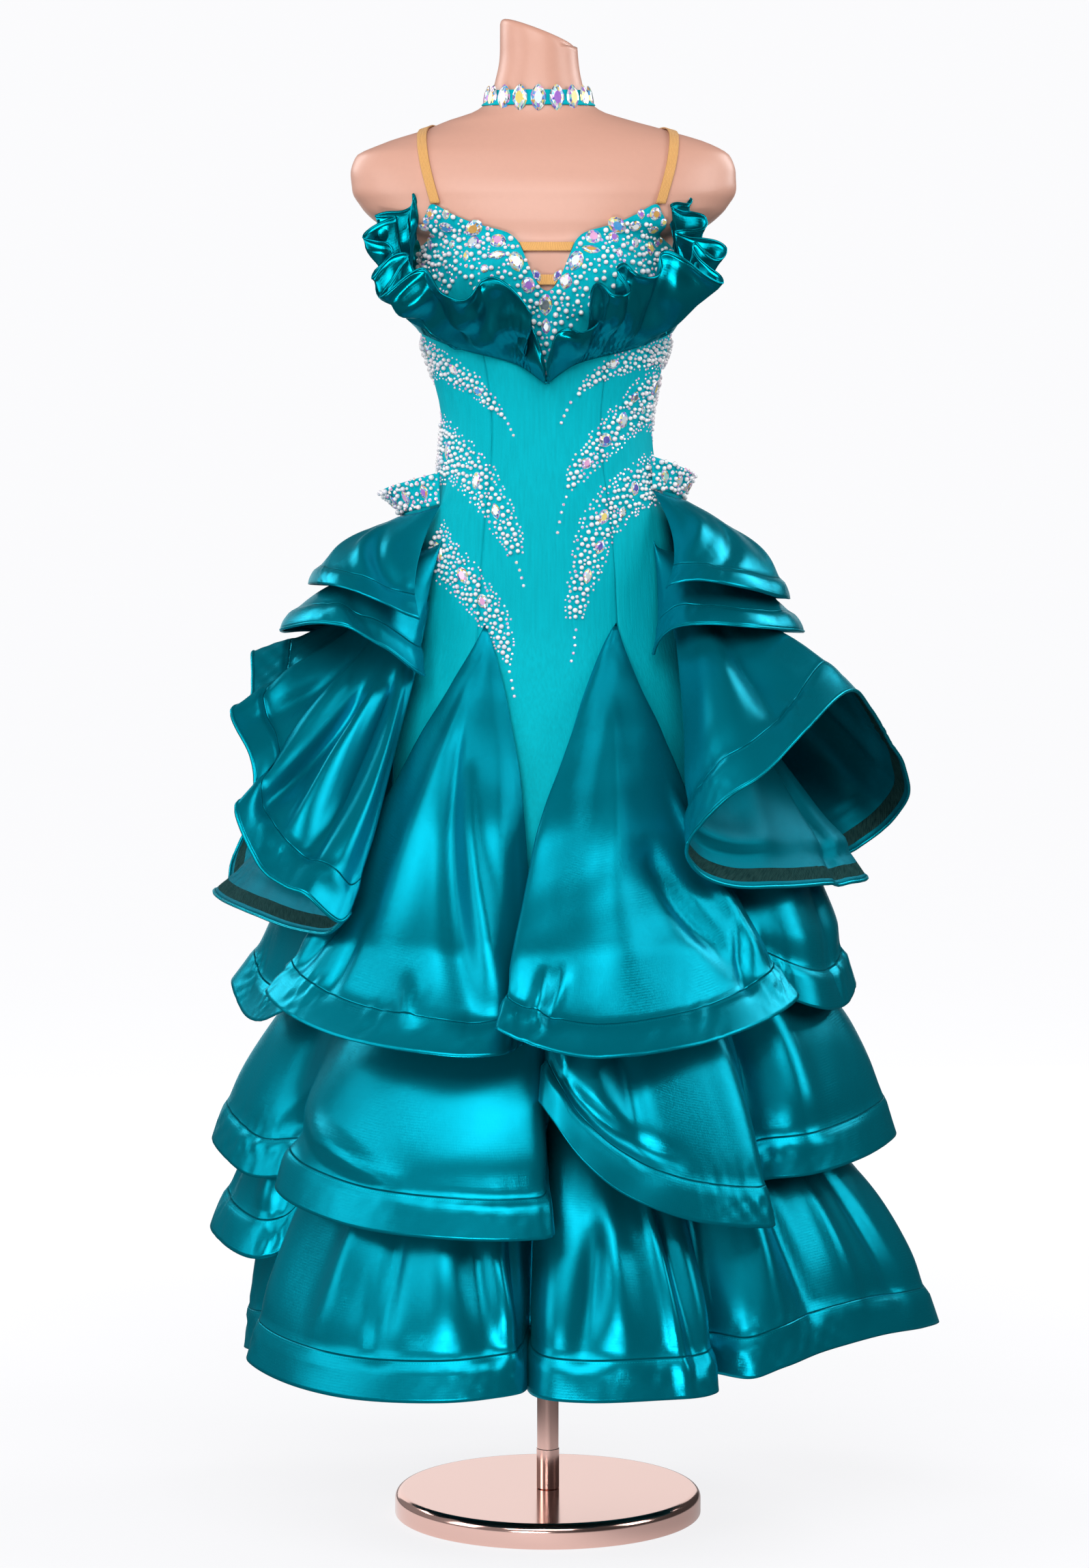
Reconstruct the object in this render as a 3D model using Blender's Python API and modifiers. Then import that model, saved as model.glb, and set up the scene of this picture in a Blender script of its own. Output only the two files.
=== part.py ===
"""A ballroom dance dress on a limbless dress form with a pole and a round base.

Metres, Z up. The origin is the centre of the base plate's underside, and the front faces -Y.
An angle goes round the Z axis from the front (0) past the figure's +X side (90) to the back (180).
Cloth is a wall round a surface(across, down): across runs along it, and down from its seam to its hem.
"""
import math
from collections import namedtuple

import bmesh
import bpy
from mathutils import Vector

COLLECTION = "Dance dress"
Section = namedtuple("Section", "height half_width front back centre")
Span = namedtuple("Span", "first last")
Edge = namedtuple("Edge", "angle height")
Notch = namedtuple("Notch", "height angle")
Hem = namedtuple("Hem", "angle radius height")
Frill = namedtuple("Frill", "seam_angle x y z")
Drape = namedtuple("Drape", "top_angle top_out x y z")
Ring = namedtuple("Ring", "height scale")
Hip = namedtuple("Hip", "name side seam_height stand flare pinch upper lower drape")
Godet = namedtuple("Godet", "name rows point_angle point_height point_ease swing fullness lift")
Tier = namedtuple("Tier", "name rows seam_height lean turn columns levels")

# Driving dimensions
CLOTH = 0.0016  # thickness of every cloth wall
SEAM_GAP = 0.0003  # between pieces that are sewn together
EASE = 0.0009  # between the form and the cloth on it
CLOTH_OUT = EASE + CLOTH / 2  # from the form to the middle of the cloth on it
SECOND_OUT = CLOTH_OUT + CLOTH + 2 * SEAM_GAP  # to the middle of a layer on that cloth
BASE_RADIUS = 0.165
BASE_THICKNESS = 0.026
BASE_EDGE = 0.009  # rounding of the plate's upper rim
BASE_FOOT = 0.002  # and of its lower one
POLE_RADIUS = 0.0123
FORM_BOTTOM = 0.880
FORM_SIDES = 26
NECK_CUT_SLOPE = 0.38  # fall of the neck's cut face towards +X
BUST_RISE = 0.020
BUST_ANGLE = 27.0
BUST_HEIGHT = 1.322
BUST_WIDE = 17.0  # degrees over which the bust falls off to a third
BUST_HIGH = 0.036
FORM_BUST = 0.013  # the form's own bust, lower than the cups over it
FORM_SLIMMER = 0.0012  # where the dress covers it
FORM_BARE = 1.41  # height from which it doesn't
CHOKER_STONES = 18
CHOKER_HEIGHT = 1.5135
CHOKER_TILT = 0.0030  # how much lower it lies in front, and higher behind
CHOKER_BAND = 0.0015  # from the neck to the back of the band
CHOKER_THIN = 0.0012
DROP_REACH = Span(0.0105, 0.0150)  # from the band's middle to its edge, between stones and at a stone
DROP_STAND = Span(0.0022, 0.0085)
PRINCESS_SEAM = 31.0  # angle of the front seams that end in the godets' points
SIDE_SEAM = 90.0
UPPER_BRIDGE = Span(1.3475, 1.3565)  # heights of the elastic strips across the notch
LOWER_BRIDGE = Span(1.3125, 1.3230)
BRIDGE_SHORT = 0.3  # degrees from their ends to the notch's edge
STRAP_WIDTH = 0.010
STRAP_PIVOT = 1.395  # height of the line that the straps' angle goes round
STRAP_ENDS = Span(2.0, 216.5)  # their angles about that line, at the front and at the back
STRAP_SIDE = Span(0.117, 0.080)  # their distance from the middle of the figure there
STRAP_BOW = 0.018
FRILL_BOW = 0.010  # how far a frill or a drape swells outwards between seam and edge
HIP_DROP = 0.012  # how much lower the hips' seams run at the side than at their ends
HIP_SEAT = CLOTH_OUT + CLOTH + 3 * SEAM_GAP
HIP_FULLNESS = 1.8
COLLAR_ENDS = Span(69.0, 148.0)
LOWER_HIP_ENDS = Span(64.0, 148.0)
COLLAR_HEIGHT = 0.034  # of its standing edge over its seam, at its ends
COLLAR_SAG = 0.010
LOWER_HIP_SEAM = 1.048
LOWER_HIP_SEAT = CLOTH_OUT + CLOTH - 2 * SEAM_GAP
LOWER_HIP_STAND = 0.004
DRAPE_TOP = 0.985
BODY_HEM = 0.645  # lower edge of the close-fitting body, inside the godets
LINING_TOP = 0.760  # one of PANEL_LEVELS
LINING_TURN = 0.660
LINING_NARROWEST = 0.172
LINING_HEM = 0.400
LINING_WIDEST = 0.192
GODET_SEAT = CLOTH_OUT + CLOTH
GODET_EASE = 6 * SEAM_GAP  # how much more than that it stands off the body below its point
GODET_RISE = 0.055  # how far the godets' seams stand off the body at the hem
TIER_COLUMNS = 68
TIER_STRAIGHT = 0.42  # share of a tier's spread that is a straight cone
TIER_FULLNESS = 2.9
PANEL_LEVELS = (1.160, 1.080, 1.020, 0.960, 0.900, 0.830, 0.760, 0.700, BODY_HEM)

SATIN = (0.0, 0.22, 0.26)
CREPE = (0.0, 0.36, 0.43)
SKIN = (0.72, 0.42, 0.34)
METAL = (0.80, 0.52, 0.45)
ELASTIC = (0.80, 0.48, 0.20)
STONE = (0.75, 0.85, 0.88)

# Levels of the figure, from under the hips to the neck; centre is the level's shift along X.
FIGURE = [
    Section(0.640, 0.206, 0.203, 0.203, 0.0),
    Section(0.700, 0.197, 0.190, 0.190, 0.0),
    Section(0.754, 0.188, 0.178, 0.180, 0.0),
    Section(0.800, 0.176, 0.160, 0.163, 0.0),
    Section(0.850, 0.163, 0.140, 0.145, 0.0),
    Section(0.900, 0.150, 0.118, 0.128, 0.0),
    Section(0.960, 0.140, 0.100, 0.114, 0.0),
    Section(1.020, 0.134, 0.098, 0.115, 0.0),
    Section(1.080, 0.1240, 0.094, 0.106, 0.0),
    Section(1.130, 0.1120, 0.088, 0.092, -0.001),
    Section(1.172, 0.1090, 0.085, 0.084, -0.0015),
    Section(1.220, 0.1175, 0.089, 0.084, -0.002),
    Section(1.265, 0.1300, 0.097, 0.088, -0.002),
    Section(1.310, 0.131, 0.106, 0.090, -0.001),
    Section(1.345, 0.1325, 0.106, 0.092, -0.001),
    Section(1.365, 0.1365, 0.103, 0.093, -0.002),
    Section(1.377, 0.168, 0.103, 0.094, -0.003),
    Section(1.387, 0.183, 0.102, 0.094, -0.004),
    Section(1.400, 0.195, 0.100, 0.094, -0.004),
    Section(1.418, 0.203, 0.095, 0.094, -0.004),
    Section(1.434, 0.2035, 0.088, 0.092, -0.005),
    Section(1.452, 0.198, 0.079, 0.088, -0.005),
    Section(1.466, 0.172, 0.070, 0.083, -0.002),
    Section(1.480, 0.127, 0.060, 0.074, -0.003),
    Section(1.490, 0.096, 0.053, 0.064, -0.009),
    Section(1.500, 0.066, 0.049, 0.056, -0.010),
    Section(1.512, 0.0525, 0.047, 0.050, -0.010),
    Section(1.530, 0.046, 0.045, 0.047, -0.010),
    Section(1.555, 0.0415, 0.044, 0.044, -0.0095),
    Section(1.575, 0.0405, 0.0435, 0.043, -0.0100),
]

# The form's rounded lower end, as shares of the figure at the hips.
FORM_END = [Ring(FORM_BOTTOM, 0.70), Ring(0.884, 0.84), Ring(0.895, 0.93), Ring(0.915, 0.985)]

# The V notch between the cups, and the neckline from its rim round to the back.
NOTCH = [
    Notch(1.306, 0.0),
    Notch(1.309, 2.5),
    Notch(1.322, 6.0),
    Notch(1.345, 10.0),
    Notch(1.358, 12.5),
]
NECKLINE = [Edge(row.angle, row.height) for row in NOTCH] + [
    Edge(16.0, 1.366),
    Edge(25.0, 1.376),
    Edge(31.0, 1.386),
    Edge(36.5, 1.397),
    Edge(41.0, 1.388),
    Edge(50.0, 1.374),
    Edge(61.0, 1.364),
    Edge(75.0, 1.356),
    Edge(90.0, 1.349),
    Edge(120.0, 1.340),
    Edge(150.0, 1.333),
    Edge(180.0, 1.330),
]

# The seam that carries the bust frill, from its point at the front round to the back.
FRILL_SEAM = [
    Edge(0.0, 1.211),
    Edge(15.0, 1.232),
    Edge(38.0, 1.245),
    Edge(78.0, 1.266),
    Edge(110.0, 1.272),
    Edge(150.0, 1.276),
    Edge(180.0, 1.278),
]

# Free edge of the bust frill on the +X side, wave by wave, and of its part behind the arm.
FRILL_FRONT_RIGHT = [
    Frill(0.8, 0.003, -0.112, 1.228),
    Frill(3.0, 0.008, -0.126, 1.245),
    Frill(6.0, 0.023, -0.140, 1.266),
    Frill(9.0, 0.042, -0.144, 1.268),
    Frill(12.0, 0.056, -0.130, 1.270),
    Frill(15.0, 0.051, -0.132, 1.292),
    Frill(17.0, 0.050, -0.154, 1.302),
    Frill(20.0, 0.062, -0.161, 1.307),
    Frill(23.0, 0.074, -0.138, 1.300),
    Frill(26.0, 0.077, -0.132, 1.320),
    Frill(28.0, 0.083, -0.154, 1.334),
    Frill(31.0, 0.094, -0.164, 1.322),
    Frill(35.0, 0.121, -0.157, 1.322),
    Frill(39.0, 0.150, -0.137, 1.318),
    Frill(43.0, 0.179, -0.115, 1.313),
    Frill(47.0, 0.176, -0.088, 1.322),
    Frill(50.0, 0.171, -0.083, 1.335),
    Frill(53.0, 0.187, -0.094, 1.338),
    Frill(56.0, 0.182, -0.080, 1.352),
    Frill(59.0, 0.158, -0.072, 1.354),
    Frill(62.0, 0.164, -0.080, 1.368),
    Frill(66.0, 0.152, -0.088, 1.396),
    Frill(70.0, 0.136, -0.090, 1.412),
]
FRILL_FRONT_LEFT = [
    Frill(0.8, 0.002, -0.112, 1.233),
    Frill(3.0, 0.003, -0.132, 1.260),
    Frill(6.0, 0.008, -0.148, 1.282),
    Frill(9.0, 0.020, -0.154, 1.300),
    Frill(12.0, 0.036, -0.148, 1.313),
    Frill(16.0, 0.060, -0.140, 1.316),
    Frill(20.0, 0.078, -0.134, 1.294),
    Frill(24.0, 0.090, -0.152, 1.293),
    Frill(29.0, 0.112, -0.156, 1.305),
    Frill(33.0, 0.130, -0.138, 1.331),
    Frill(37.0, 0.145, -0.118, 1.322),
    Frill(41.0, 0.172, -0.116, 1.303),
    Frill(45.0, 0.183, -0.100, 1.322),
    Frill(49.0, 0.166, -0.080, 1.338),
    Frill(52.0, 0.165, -0.078, 1.350),
    Frill(55.0, 0.190, -0.088, 1.362),
    Frill(59.0, 0.188, -0.082, 1.378),
    Frill(63.0, 0.176, -0.082, 1.390),
    Frill(67.0, 0.154, -0.084, 1.396),
    Frill(70.0, 0.142, -0.088, 1.410),
]
FRILL_BACK = [
    Frill(76.0, 0.142, -0.066, 1.378),
    Frill(82.0, 0.166, -0.048, 1.360),
    Frill(89.0, 0.158, -0.022, 1.362),
    Frill(96.0, 0.164, 0.006, 1.364),
    Frill(103.0, 0.176, 0.030, 1.364),
    Frill(110.0, 0.156, 0.050, 1.366),
    Frill(118.0, 0.160, 0.078, 1.377),
    Frill(127.0, 0.144, 0.104, 1.378),
    Frill(135.0, 0.116, 0.104, 1.366),
    Frill(143.0, 0.100, 0.128, 1.352),
    Frill(151.0, 0.074, 0.138, 1.350),
    Frill(159.0, 0.056, 0.120, 1.345),
    Frill(167.0, 0.042, 0.138, 1.348),
    Frill(174.0, 0.018, 0.138, 1.342),
    Frill(179.2, 0.003, 0.122, 1.336),
]

# Hems of the two short tiers at each hip, from their front end to their back end.
HIP_UPPER_RIGHT = [
    Hem(45.5, 0.172, 0.999),
    Hem(44.0, 0.187, 1.004),
    Hem(49.5, 0.207, 1.007),
    Hem(58.0, 0.232, 1.000),
    Hem(76.0, 0.250, 0.988),
    Hem(95.0, 0.256, 0.985),
    Hem(120.0, 0.240, 0.985),
    Hem(143.0, 0.204, 0.990),
    Hem(150.0, 0.158, 0.994),
]
HIP_UPPER_LEFT = [
    Hem(51.0, 0.173, 0.966),
    Hem(52.0, 0.190, 0.972),
    Hem(55.0, 0.217, 0.986),
    Hem(63.0, 0.243, 1.000),
    Hem(76.0, 0.250, 1.003),
    Hem(95.0, 0.252, 1.000),
    Hem(120.0, 0.237, 0.996),
    Hem(143.0, 0.203, 0.994),
    Hem(150.0, 0.160, 0.996),
]
HIP_LOWER_RIGHT = [
    Hem(52.0, 0.142, 0.930),
    Hem(47.5, 0.158, 0.944),
    Hem(46.5, 0.182, 0.959),
    Hem(50.0, 0.214, 0.963),
    Hem(58.0, 0.246, 0.960),
    Hem(74.6, 0.262, 0.955),
    Hem(95.0, 0.271, 0.950),
    Hem(120.0, 0.262, 0.948),
    Hem(145.0, 0.215, 0.950),
    Hem(152.0, 0.158, 0.952),
]
HIP_LOWER_LEFT = [
    Hem(56.0, 0.158, 0.908),
    Hem(52.5, 0.176, 0.914),
    Hem(54.0, 0.220, 0.944),
    Hem(61.0, 0.258, 0.963),
    Hem(77.0, 0.280, 0.957),
    Hem(90.0, 0.280, 0.951),
    Hem(105.0, 0.264, 0.950),
    Hem(125.0, 0.245, 0.940),
    Hem(147.0, 0.200, 0.944),
    Hem(153.0, 0.160, 0.950),
]

# Mouths of the side drapes: the lifted front edge first, then the outer and the inner wall's edge.
DRAPE_RIGHT = [
    Drape(58.0, 0.010, 0.142, -0.248, 0.745),
    Drape(60.0, 0.022, 0.178, -0.272, 0.790),
    Drape(65.0, 0.032, 0.214, -0.270, 0.817),
    Drape(72.0, 0.040, 0.260, -0.228, 0.859),
    Drape(82.0, 0.046, 0.309, -0.140, 0.894),
    Drape(94.0, 0.050, 0.342, -0.040, 0.869),
    Drape(106.0, 0.050, 0.368, 0.040, 0.831),
    Drape(116.0, 0.046, 0.388, 0.090, 0.801),
    Drape(126.0, 0.040, 0.396, 0.130, 0.767),
    Drape(136.0, 0.032, 0.376, 0.150, 0.733),
    Drape(145.0, 0.022, 0.342, 0.130, 0.710),
    Drape(149.0, 0.009, 0.320, 0.080, 0.702),
    Drape(141.0, 0.0043, 0.333, 0.010, 0.693),
    Drape(128.0, 0.0043, 0.336, -0.035, 0.689),
    Drape(112.0, 0.0043, 0.286, -0.115, 0.692),
    Drape(96.0, 0.0043, 0.236, -0.165, 0.693),
    Drape(80.0, 0.0043, 0.188, -0.208, 0.699),
    Drape(66.0, 0.0043, 0.153, -0.232, 0.716),
]
DRAPE_LEFT = [
    Drape(57.0, 0.012, 0.201, -0.236, 0.674),
    Drape(58.0, 0.020, 0.212, -0.256, 0.668),
    Drape(61.0, 0.027, 0.242, -0.266, 0.695),
    Drape(64.0, 0.032, 0.266, -0.252, 0.703),
    Drape(68.0, 0.036, 0.293, -0.227, 0.722),
    Drape(72.0, 0.039, 0.318, -0.202, 0.775),
    Drape(76.0, 0.042, 0.303, -0.168, 0.792),
    Drape(80.0, 0.045, 0.306, -0.152, 0.826),
    Drape(84.0, 0.047, 0.328, -0.122, 0.871),
    Drape(88.0, 0.048, 0.311, -0.082, 0.880),
    Drape(92.0, 0.048, 0.311, -0.050, 0.902),
    Drape(98.0, 0.048, 0.313, -0.005, 0.928),
    Drape(107.0, 0.046, 0.302, 0.060, 0.904),
    Drape(118.0, 0.040, 0.299, 0.120, 0.845),
    Drape(130.0, 0.032, 0.312, 0.150, 0.776),
    Drape(141.0, 0.022, 0.346, 0.140, 0.700),
    Drape(147.0, 0.009, 0.350, 0.100, 0.672),
    Drape(140.0, 0.0043, 0.362, 0.060, 0.668),
    Drape(126.0, 0.0043, 0.347, 0.005, 0.663),
    Drape(112.0, 0.0043, 0.322, -0.055, 0.660),
    Drape(96.0, 0.0043, 0.282, -0.125, 0.652),
    Drape(80.0, 0.0043, 0.250, -0.178, 0.650),
    Drape(66.0, 0.0043, 0.222, -0.220, 0.653),
]

# Each hip: side is the sign of its X; stand is how far its collar's seam stands off the body, and
# flare how much further out the collar's free edge is; pinch above 1 holds the drape in near its top.
HIPS = [
    Hip("right", 1.0, 1.103, 0.022, 0.014, 1.0, HIP_UPPER_RIGHT, HIP_LOWER_RIGHT, DRAPE_RIGHT),
    Hip("left", -1.0, 1.086, 0.030, 0.026, 1.25, HIP_UPPER_LEFT, HIP_LOWER_LEFT, DRAPE_LEFT),
]

# Hems of the godets, from their seam with one panel to their seam with the next.
GODET_FRONT_LEFT = [
    Hem(-49.0, 0.275, 0.600),
    Hem(-54.0, 0.310, 0.592),
    Hem(-58.0, 0.338, 0.587),
    Hem(-50.0, 0.352, 0.572),
    Hem(-36.0, 0.352, 0.552),
    Hem(-18.0, 0.348, 0.540),
    Hem(-9.0, 0.334, 0.540),
    Hem(-6.0, 0.305, 0.545),
    Hem(-4.0, 0.284, 0.550),
]
GODET_FRONT_RIGHT = [
    Hem(0.0, 0.286, 0.562),
    Hem(-3.0, 0.312, 0.564),
    Hem(-8.0, 0.354, 0.570),
    Hem(-3.0, 0.367, 0.556),
    Hem(8.0, 0.364, 0.541),
    Hem(24.0, 0.360, 0.550),
    Hem(40.0, 0.345, 0.568),
    Hem(51.5, 0.325, 0.584),
    Hem(49.0, 0.298, 0.590),
    Hem(45.0, 0.275, 0.600),
]
GODET_SIDE_LEFT = [
    Hem(-127.0, 0.240, 0.610),
    Hem(-121.0, 0.276, 0.590),
    Hem(-112.0, 0.322, 0.566),
    Hem(-94.0, 0.338, 0.576),
    Hem(-84.0, 0.325, 0.548),
    Hem(-75.0, 0.316, 0.543),
    Hem(-67.0, 0.302, 0.556),
    Hem(-59.0, 0.268, 0.585),
    Hem(-53.0, 0.240, 0.615),
]
GODET_SIDE_RIGHT = [
    Hem(48.5, 0.240, 0.620),
    Hem(54.0, 0.268, 0.592),
    Hem(62.0, 0.312, 0.566),
    Hem(74.0, 0.322, 0.560),
    Hem(90.0, 0.328, 0.573),
    Hem(103.0, 0.330, 0.562),
    Hem(113.0, 0.304, 0.575),
    Hem(118.0, 0.268, 0.592),
    Hem(122.0, 0.240, 0.610),
]
GODET_BACK_RIGHT = [
    Hem(121.0, 0.275, 0.600),
    Hem(121.0, 0.310, 0.575),
    Hem(130.0, 0.342, 0.556),
    Hem(146.0, 0.350, 0.546),
    Hem(162.0, 0.350, 0.550),
    Hem(173.0, 0.338, 0.556),
    Hem(176.0, 0.308, 0.570),
    Hem(177.5, 0.275, 0.580),
]
GODET_BACK_LEFT = [
    Hem(-177.5, 0.275, 0.580),
    Hem(-177.0, 0.308, 0.566),
    Hem(-174.0, 0.342, 0.552),
    Hem(-160.0, 0.352, 0.543),
    Hem(-145.0, 0.348, 0.552),
    Hem(-131.0, 0.340, 0.562),
    Hem(-123.0, 0.312, 0.578),
    Hem(-123.0, 0.275, 0.600),
]

# Each godet, with the place of its point on the body and its ease there. A higher swing spreads
# it sideways sooner, a higher fullness bells it out sooner, and a lower lift raises its seams sooner.
GODETS = [
    Godet("godet_front_left", GODET_FRONT_LEFT, -35.5, 0.961, 0.0, 4.0, 0.85, 4.0),
    Godet("godet_front_right", GODET_FRONT_RIGHT, 38.5, 0.963, 0.0, 4.0, 0.85, 4.0),
    Godet("godet_side_left", GODET_SIDE_LEFT, -92.0, 0.900, 0.0007, 3.0, 1.5, 4.0),
    Godet("godet_side_right", GODET_SIDE_RIGHT, 90.0, 0.900, 0.0007, 3.0, 2.6, 1.6),
    Godet("godet_back_right", GODET_BACK_RIGHT, 147.0, 0.950, GODET_EASE, 4.0, 0.9, 4.0),
    Godet("godet_back_left", GODET_BACK_LEFT, -147.0, 0.950, GODET_EASE, 4.0, 0.9, 4.0),
]

# Hems of the skirt's tiers: lobes with deep folds between them.
TIER_MIDDLE = [
    Hem(-1.2, 0.275, 0.480),
    Hem(-1.8, 0.305, 0.492),
    Hem(1.0, 0.325, 0.474),
    Hem(6.0, 0.334, 0.436),
    Hem(13.0, 0.341, 0.402),
    Hem(23.0, 0.351, 0.376),
    Hem(33.0, 0.359, 0.364),
    Hem(39.5, 0.360, 0.361),
    Hem(42.0, 0.330, 0.368),
    Hem(44.0, 0.292, 0.382),
    Hem(48.0, 0.298, 0.394),
    Hem(54.0, 0.336, 0.400),
    Hem(66.0, 0.356, 0.408),
    Hem(82.0, 0.371, 0.416),
    Hem(98.0, 0.371, 0.412),
    Hem(112.0, 0.352, 0.398),
    Hem(120.0, 0.318, 0.392),
    Hem(126.0, 0.296, 0.392),
    Hem(132.0, 0.318, 0.388),
    Hem(143.0, 0.350, 0.380),
    Hem(160.0, 0.362, 0.374),
    Hem(174.0, 0.352, 0.370),
    Hem(183.0, 0.322, 0.372),
    Hem(189.0, 0.298, 0.376),
    Hem(195.0, 0.320, 0.380),
    Hem(207.0, 0.352, 0.388),
    Hem(223.0, 0.360, 0.394),
    Hem(236.0, 0.346, 0.396),
    Hem(243.0, 0.310, 0.400),
    Hem(249.0, 0.300, 0.402),
    Hem(256.0, 0.335, 0.404),
    Hem(268.0, 0.360, 0.408),
    Hem(279.0, 0.345, 0.392),
    Hem(286.0, 0.325, 0.380),
    Hem(293.0, 0.298, 0.384),
    Hem(299.0, 0.300, 0.388),
    Hem(304.0, 0.338, 0.388),
    Hem(312.0, 0.350, 0.376),
    Hem(328.0, 0.354, 0.362),
    Hem(345.0, 0.347, 0.357),
    Hem(356.0, 0.338, 0.357),
    Hem(361.0, 0.326, 0.360),
    Hem(360.5, 0.292, 0.375),
    Hem(359.5, 0.268, 0.420),
]
TIER_LEFT = [
    Hem(-165.0, 0.270, 0.330),
    Hem(-162.0, 0.310, 0.318),
    Hem(-148.0, 0.345, 0.312),
    Hem(-132.0, 0.350, 0.318),
    Hem(-118.0, 0.318, 0.322),
    Hem(-109.0, 0.295, 0.322),
    Hem(-102.0, 0.310, 0.320),
    Hem(-92.0, 0.362, 0.316),
    Hem(-82.0, 0.350, 0.302),
    Hem(-75.0, 0.325, 0.292),
    Hem(-72.5, 0.300, 0.297),
    Hem(-71.5, 0.284, 0.312),
]
TIER_BOTTOM = [
    Hem(-5.0, 0.225, 0.206),
    Hem(-4.2, 0.285, 0.198),
    Hem(-1.0, 0.325, 0.195),
    Hem(7.0, 0.338, 0.193),
    Hem(18.0, 0.346, 0.194),
    Hem(27.0, 0.348, 0.194),
    Hem(31.5, 0.330, 0.196),
    Hem(33.0, 0.290, 0.200),
    Hem(36.0, 0.290, 0.201),
    Hem(39.0, 0.328, 0.200),
    Hem(45.0, 0.341, 0.209),
    Hem(56.0, 0.346, 0.216),
    Hem(69.0, 0.374, 0.220),
    Hem(80.0, 0.405, 0.215),
    Hem(88.0, 0.420, 0.211),
    Hem(97.0, 0.400, 0.208),
    Hem(106.0, 0.350, 0.206),
    Hem(112.0, 0.300, 0.204),
    Hem(119.0, 0.285, 0.202),
    Hem(127.0, 0.325, 0.198),
    Hem(142.0, 0.362, 0.192),
    Hem(160.0, 0.372, 0.189),
    Hem(174.0, 0.358, 0.190),
    Hem(183.0, 0.305, 0.196),
    Hem(189.0, 0.265, 0.202),
    Hem(196.0, 0.300, 0.198),
    Hem(208.0, 0.350, 0.192),
    Hem(224.0, 0.365, 0.189),
    Hem(240.0, 0.352, 0.190),
    Hem(250.0, 0.305, 0.192),
    Hem(256.0, 0.270, 0.194),
    Hem(263.0, 0.300, 0.188),
    Hem(272.0, 0.326, 0.184),
    Hem(282.0, 0.310, 0.190),
    Hem(289.0, 0.262, 0.204),
    Hem(294.0, 0.275, 0.208),
    Hem(297.0, 0.325, 0.206),
    Hem(300.5, 0.362, 0.207),
    Hem(310.0, 0.368, 0.198),
    Hem(326.0, 0.370, 0.192),
    Hem(342.0, 0.358, 0.194),
    Hem(351.0, 0.340, 0.198),
    Hem(355.5, 0.315, 0.200),
    Hem(355.3, 0.270, 0.204),
]

# Each tier; lean is how much fuller it is towards +X, and turn closes one that goes all round.
TIERS = [
    Tier("tier_middle", TIER_MIDDLE, 0.655, 0.8, 360.0, TIER_COLUMNS, 5),
    Tier("tier_left", TIER_LEFT, 0.540, 0.8, None, 24, 4),
    Tier("tier_bottom", TIER_BOTTOM, 0.500, -0.4, 360.0, TIER_COLUMNS, 4),
]


def slope_at(keys, values, place):
    """Slope of a smooth curve through a table at one row, flat at a peak so that it never overshoots."""
    if place == 0 or place == len(keys) - 1:
        near = max(place, 1)
        return (values[near] - values[near - 1]) / (keys[near] - keys[near - 1])
    before = (values[place] - values[place - 1]) / (keys[place] - keys[place - 1])
    after = (values[place + 1] - values[place]) / (keys[place + 1] - keys[place])
    return 0.0 if before * after <= 0 else 2 * before * after / (before + after)


def level(rows, column, key):
    """One column of a table whose first column is its key, read between rows."""
    keys = [row[0] for row in rows]
    values = [getattr(row, column) for row in rows]
    key = min(max(key, keys[0]), keys[-1])
    place = max(i for i in range(len(keys) - 1) if keys[i] <= key)
    step = keys[place + 1] - keys[place]
    t = (key - keys[place]) / step
    first = slope_at(keys, values, place) * step
    last = slope_at(keys, values, place + 1) * step
    rise = values[place + 1] - values[place]
    bend = 3 * rise - 2 * first - last
    return values[place] + first * t + bend * t**2 + (rise - first - bend) * t**3


def trail(rows, column, along, turn=None):
    """One column of a table read evenly along its rows; turn closes it, adding that much a lap."""
    count = len(rows) - 1 if turn is None else len(rows)
    place = along * count
    start = math.floor(place) if turn is not None else min(max(math.floor(place), 0), count - 1)
    t = place - start if turn is not None else min(max(place - start, 0.0), 1.0)

    def value(index):
        if turn is None:
            return getattr(rows[min(max(index, 0), count)], column)
        return getattr(rows[index % count], column) + turn * (index // count)

    before, first, last, after = (value(start + offset) for offset in (-1, 0, 1, 2))
    bend = 2 * before - 5 * first + 4 * last - after
    twist = 3 * (first - last) + after - before
    return first + 0.5 * t * (last - before + t * (bend + t * twist))


def calm(rows, along, turn=None):
    """The angle column averaged over the rows about, so that it only ever moves on."""
    reach = 2.5 / len(rows)
    shares = (-1.0, -0.5, 0.0, 0.5, 1.0)
    return sum(trail(rows, "angle", along + share * reach, turn) for share in shares) / len(shares)


def blend(first, last, share):
    return first + (last - first) * share


def around(angle, radius, height):
    turned = math.radians(angle)
    return Vector((radius * math.sin(turned), -radius * math.cos(turned), height))


def figure(angle, height, out=0.0, bust=BUST_RISE):
    """A point of the figure, moved out from it."""
    turned = math.radians((angle + 180.0) % 360.0 - 180.0)
    deep = level(FIGURE, "front" if math.cos(turned) > 0 else "back", height)
    beside = (abs(math.degrees(turned)) - BUST_ANGLE) / BUST_WIDE
    above = (height - BUST_HEIGHT) / BUST_HIGH
    out += bust * math.exp(-(beside**2) - above**2)
    across = level(FIGURE, "half_width", height) + out
    x = level(FIGURE, "centre", height) + across * math.sin(turned)
    return Vector((x, -(deep + out) * math.cos(turned), height))


def figure_radius(angle, height, out=0.0):
    """Distance from the Z axis to the figure in a true direction."""
    half_width = level(FIGURE, "half_width", height) + out
    turned = math.radians(angle)
    deep = level(FIGURE, "front" if math.cos(turned) > 0 else "back", height) + out
    return 1.0 / math.hypot(math.sin(turned) / half_width, math.cos(turned) / deep)


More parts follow.
